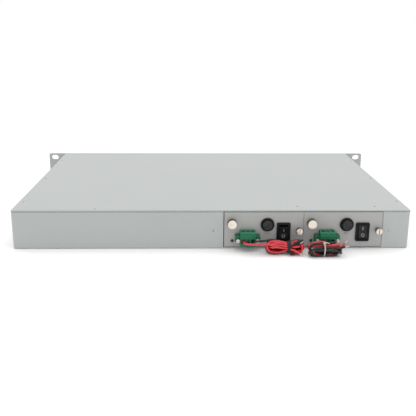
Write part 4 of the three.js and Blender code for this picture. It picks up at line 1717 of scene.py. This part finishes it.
    def barrel(
        self, name: str, x: float, y: float, low: float, high: float, radius: float
    ) -> tuple[bpy.types.Object, bpy.types.Object]:
        """A sleeved capacitor and its scored metal top.

        Args:
            name: The piece's name.
            x: Its place across the row frame, in metres.
            y: Its place along the row frame, in metres.
            low: Its foot's height.
            high: Its top's height.
            radius: Its radius.

        Returns:
            The sleeve and the top.
        """
        sleeve = turned(
            name,
            [
                (radius - 0.4 * MM, low),
                (radius, low + 0.5 * MM),
                (radius, low + 1.6 * MM),
                (radius - 0.45 * MM, low + 2.1 * MM),
                (radius, low + 2.6 * MM),
                (radius, high - 0.5 * MM),
                (radius - 0.5 * MM, high),
            ],
            0,
            0,
            40,
        )
        sleeve.data.transform(Matrix.Translation((x, y, 0)) @ Matrix.Rotation(math.pi / 2, 4, "X"))
        top = rod(f"{name}_top", (x, y, high - 0.3 * MM), (x, y, high + 0.08 * MM), radius - 0.9 * MM, 36)
        score = [
            block(
                "score",
                (x - radius * 0.7, y - 0.15 * MM, high - 0.1 * MM),
                (x + radius * 0.7, y + 0.15 * MM, high + MM),
            ),
            block(
                "score",
                (x - 0.15 * MM, y - radius * 0.7, high - 0.1 * MM),
                (x + 0.15 * MM, y + radius * 0.7, high + MM),
            ),
        ]
        return shaded(sleeve), shaded(cut(top, *score))

    def capacitors(self) -> None:
        """The input capacitor and three smaller output capacitors."""
        low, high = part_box(self.node("input_capacitor"))
        middle = (low + high) / 2
        sleeve, top = self.barrel(
            self.node("input_sleeve"), middle.x, middle.y, low.z, high.z, (high.x - low.x) / 2
        )
        self.add(sleeve, Finishes.capacitor_sleeve, "capacitor_sleeve", "input_capacitor")
        tops, sleeves = [top], []
        for i, y in enumerate((80, 92, 104)):
            x, y, _ = self.at(63, y, 0)
            sleeve, top = self.barrel(f"sleeve_{i}", x, y, low.z, low.z + 15 * MM, 5 * MM)
            sleeves.append(sleeve)
            tops.append(top)
        self.add(joined(self.node("output_sleeves"), sleeves), Finishes.capacitor_sleeve, "capacitor_sleeve")
        self.add(joined(self.node("capacitor_tops"), tops), Finishes.aluminium_bare, "aluminium_bare")

    def board_parts(self) -> None:
        """The small parts on the board: a wound choke, chips with their legs, and rows of chip resistors."""
        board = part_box(self.node("converter_board"))[1].z
        bpy.ops.object.select_all(action="DESELECT")
        place = Vector(self.at(23, 31, 0)) + Vector((0, 0, board + 5.2 * MM))
        bpy.ops.mesh.primitive_torus_add(
            location=place,
            major_radius=7.5 * MM,
            minor_radius=3.4 * MM,
            major_segments=40,
            minor_segments=14,
        )
        core = settled(self.node("choke_core"))
        core.data.transform(
            Matrix.Translation(place) @ Matrix.Diagonal((1, 1, 1.3, 1)) @ Matrix.Translation(-place)
        )
        self.add(shaded(core), Finishes.ferrite, "ferrite")
        turns = []
        for i in range(26):
            angle = 2 * math.pi * (i + (2 if i > 12 else 0)) / 30
            bpy.ops.object.select_all(action="DESELECT")
            bpy.ops.mesh.primitive_torus_add(
                major_radius=3.9 * MM, minor_radius=0.45 * MM, major_segments=16, minor_segments=6
            )
            loop = settled(f"turn_{i}")
            stand = Matrix.Rotation(angle, 4, "Z") @ Matrix.Translation((7.5 * MM, 0, 0)) @ Matrix.Rotation(
                math.pi / 2, 4, "X"
            )
            loop.data.transform(Matrix.Translation(place) @ Matrix.Diagonal((1, 1, 1.25, 1)) @ stand)
            turns.append(loop)
        self.add(shaded(joined(self.node("choke_winding"), turns), 60), Finishes.copper, "nickel")
        bodies, legs = [], []
        for x, y, wide, long, tall in (
            (52, 72, 6, 10, 2),
            (52, 90, 8, 8, 1.6),
            (66, 30, 5, 10, 2),
            (50, 124, 10, 12, 2.4),
            (66, 122, 5, 6, 1.5),
        ):
            low = Vector(self.at(x - wide / 2, y - long / 2, 0)) + Vector((0, 0, board + 0.2 * MM))
            high = low + Vector((wide * MM, long * MM, tall * MM))
            bodies.append(eased(block("chip", low, high), 0.2 * MM))
            for side in (-1, 1):
                for k in range(int(long / 1.27) - 1):
                    foot = Vector(self.at(x + side * (wide / 2 + 0.5), y - long / 2 + 1.3 + 1.27 * k, 0))
                    foot.z = board
                    legs.append(
                        block(
                            "leg", foot - Vector((0.55, 0.2, 0)) * MM, foot + Vector((0.55, 0.2, 0.5)) * MM
                        )
                    )
        for i in range(24):
            x, y = 44 + 3.2 * (i % 8), 131.5 + 2.4 * (i // 8)
            bodies.append(
                block(
                    "resistor",
                    Vector(self.at(x, y, 0)) + Vector((0, 0, board)),
                    Vector(self.at(x + 1.2, y + 1.2, 0)) + Vector((0, 0, board + 0.5 * MM)),
                )
            )
        self.add(joined(self.node("board_chips"), bodies), Finishes.chip_black, "ferrite")
        self.add(joined(self.node("chip_legs"), legs), Finishes.tinned, "nickel")

    def edge_plug(self) -> None:
        """The plug at the module's back and the contacts on its tongue."""
        piece = eased(rebuilt(self.frame, self.node("edge_plug"), self.node("rear_plug")), 0.3 * MM)
        self.add(piece, Finishes.socket_cream, "socket_cream", "edge_plug")
        low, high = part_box(self.node("edge_plug"))
        middle = (low.x + high.x) / 2
        strips = []
        for i in range(9):
            x = middle + (i - 4) * 3.4 * MM
            strips.append(
                block(
                    "contact",
                    (x - 0.8 * MM, high.y - 7 * MM, 16.75 * MM),
                    (x + 0.8 * MM, high.y - 0.8 * MM, 16.95 * MM),
                )
            )
        self.add(joined(self.node("plug_contacts"), strips), Finishes.gold, "nickel")


# ---------------------------------------------------------------- the whole unit


def main() -> None:
    """Builds the studio, the leads and the unit."""
    logging.basicConfig(level=logging.INFO, format="%(message)s")
    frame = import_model()
    Studio().build()
    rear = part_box("chassis_tray")[0].y
    for hank in lead_hanks(rear):
        hank.build()
    Chassis(frame).build()
    PowerModule(frame, "b", RockerSide.LOWER, cap_turn=-35).build()
    PowerModule(frame, "a", RockerSide.UPPER, cap_turn=40).build()


if __name__ == "__main__":
    main()
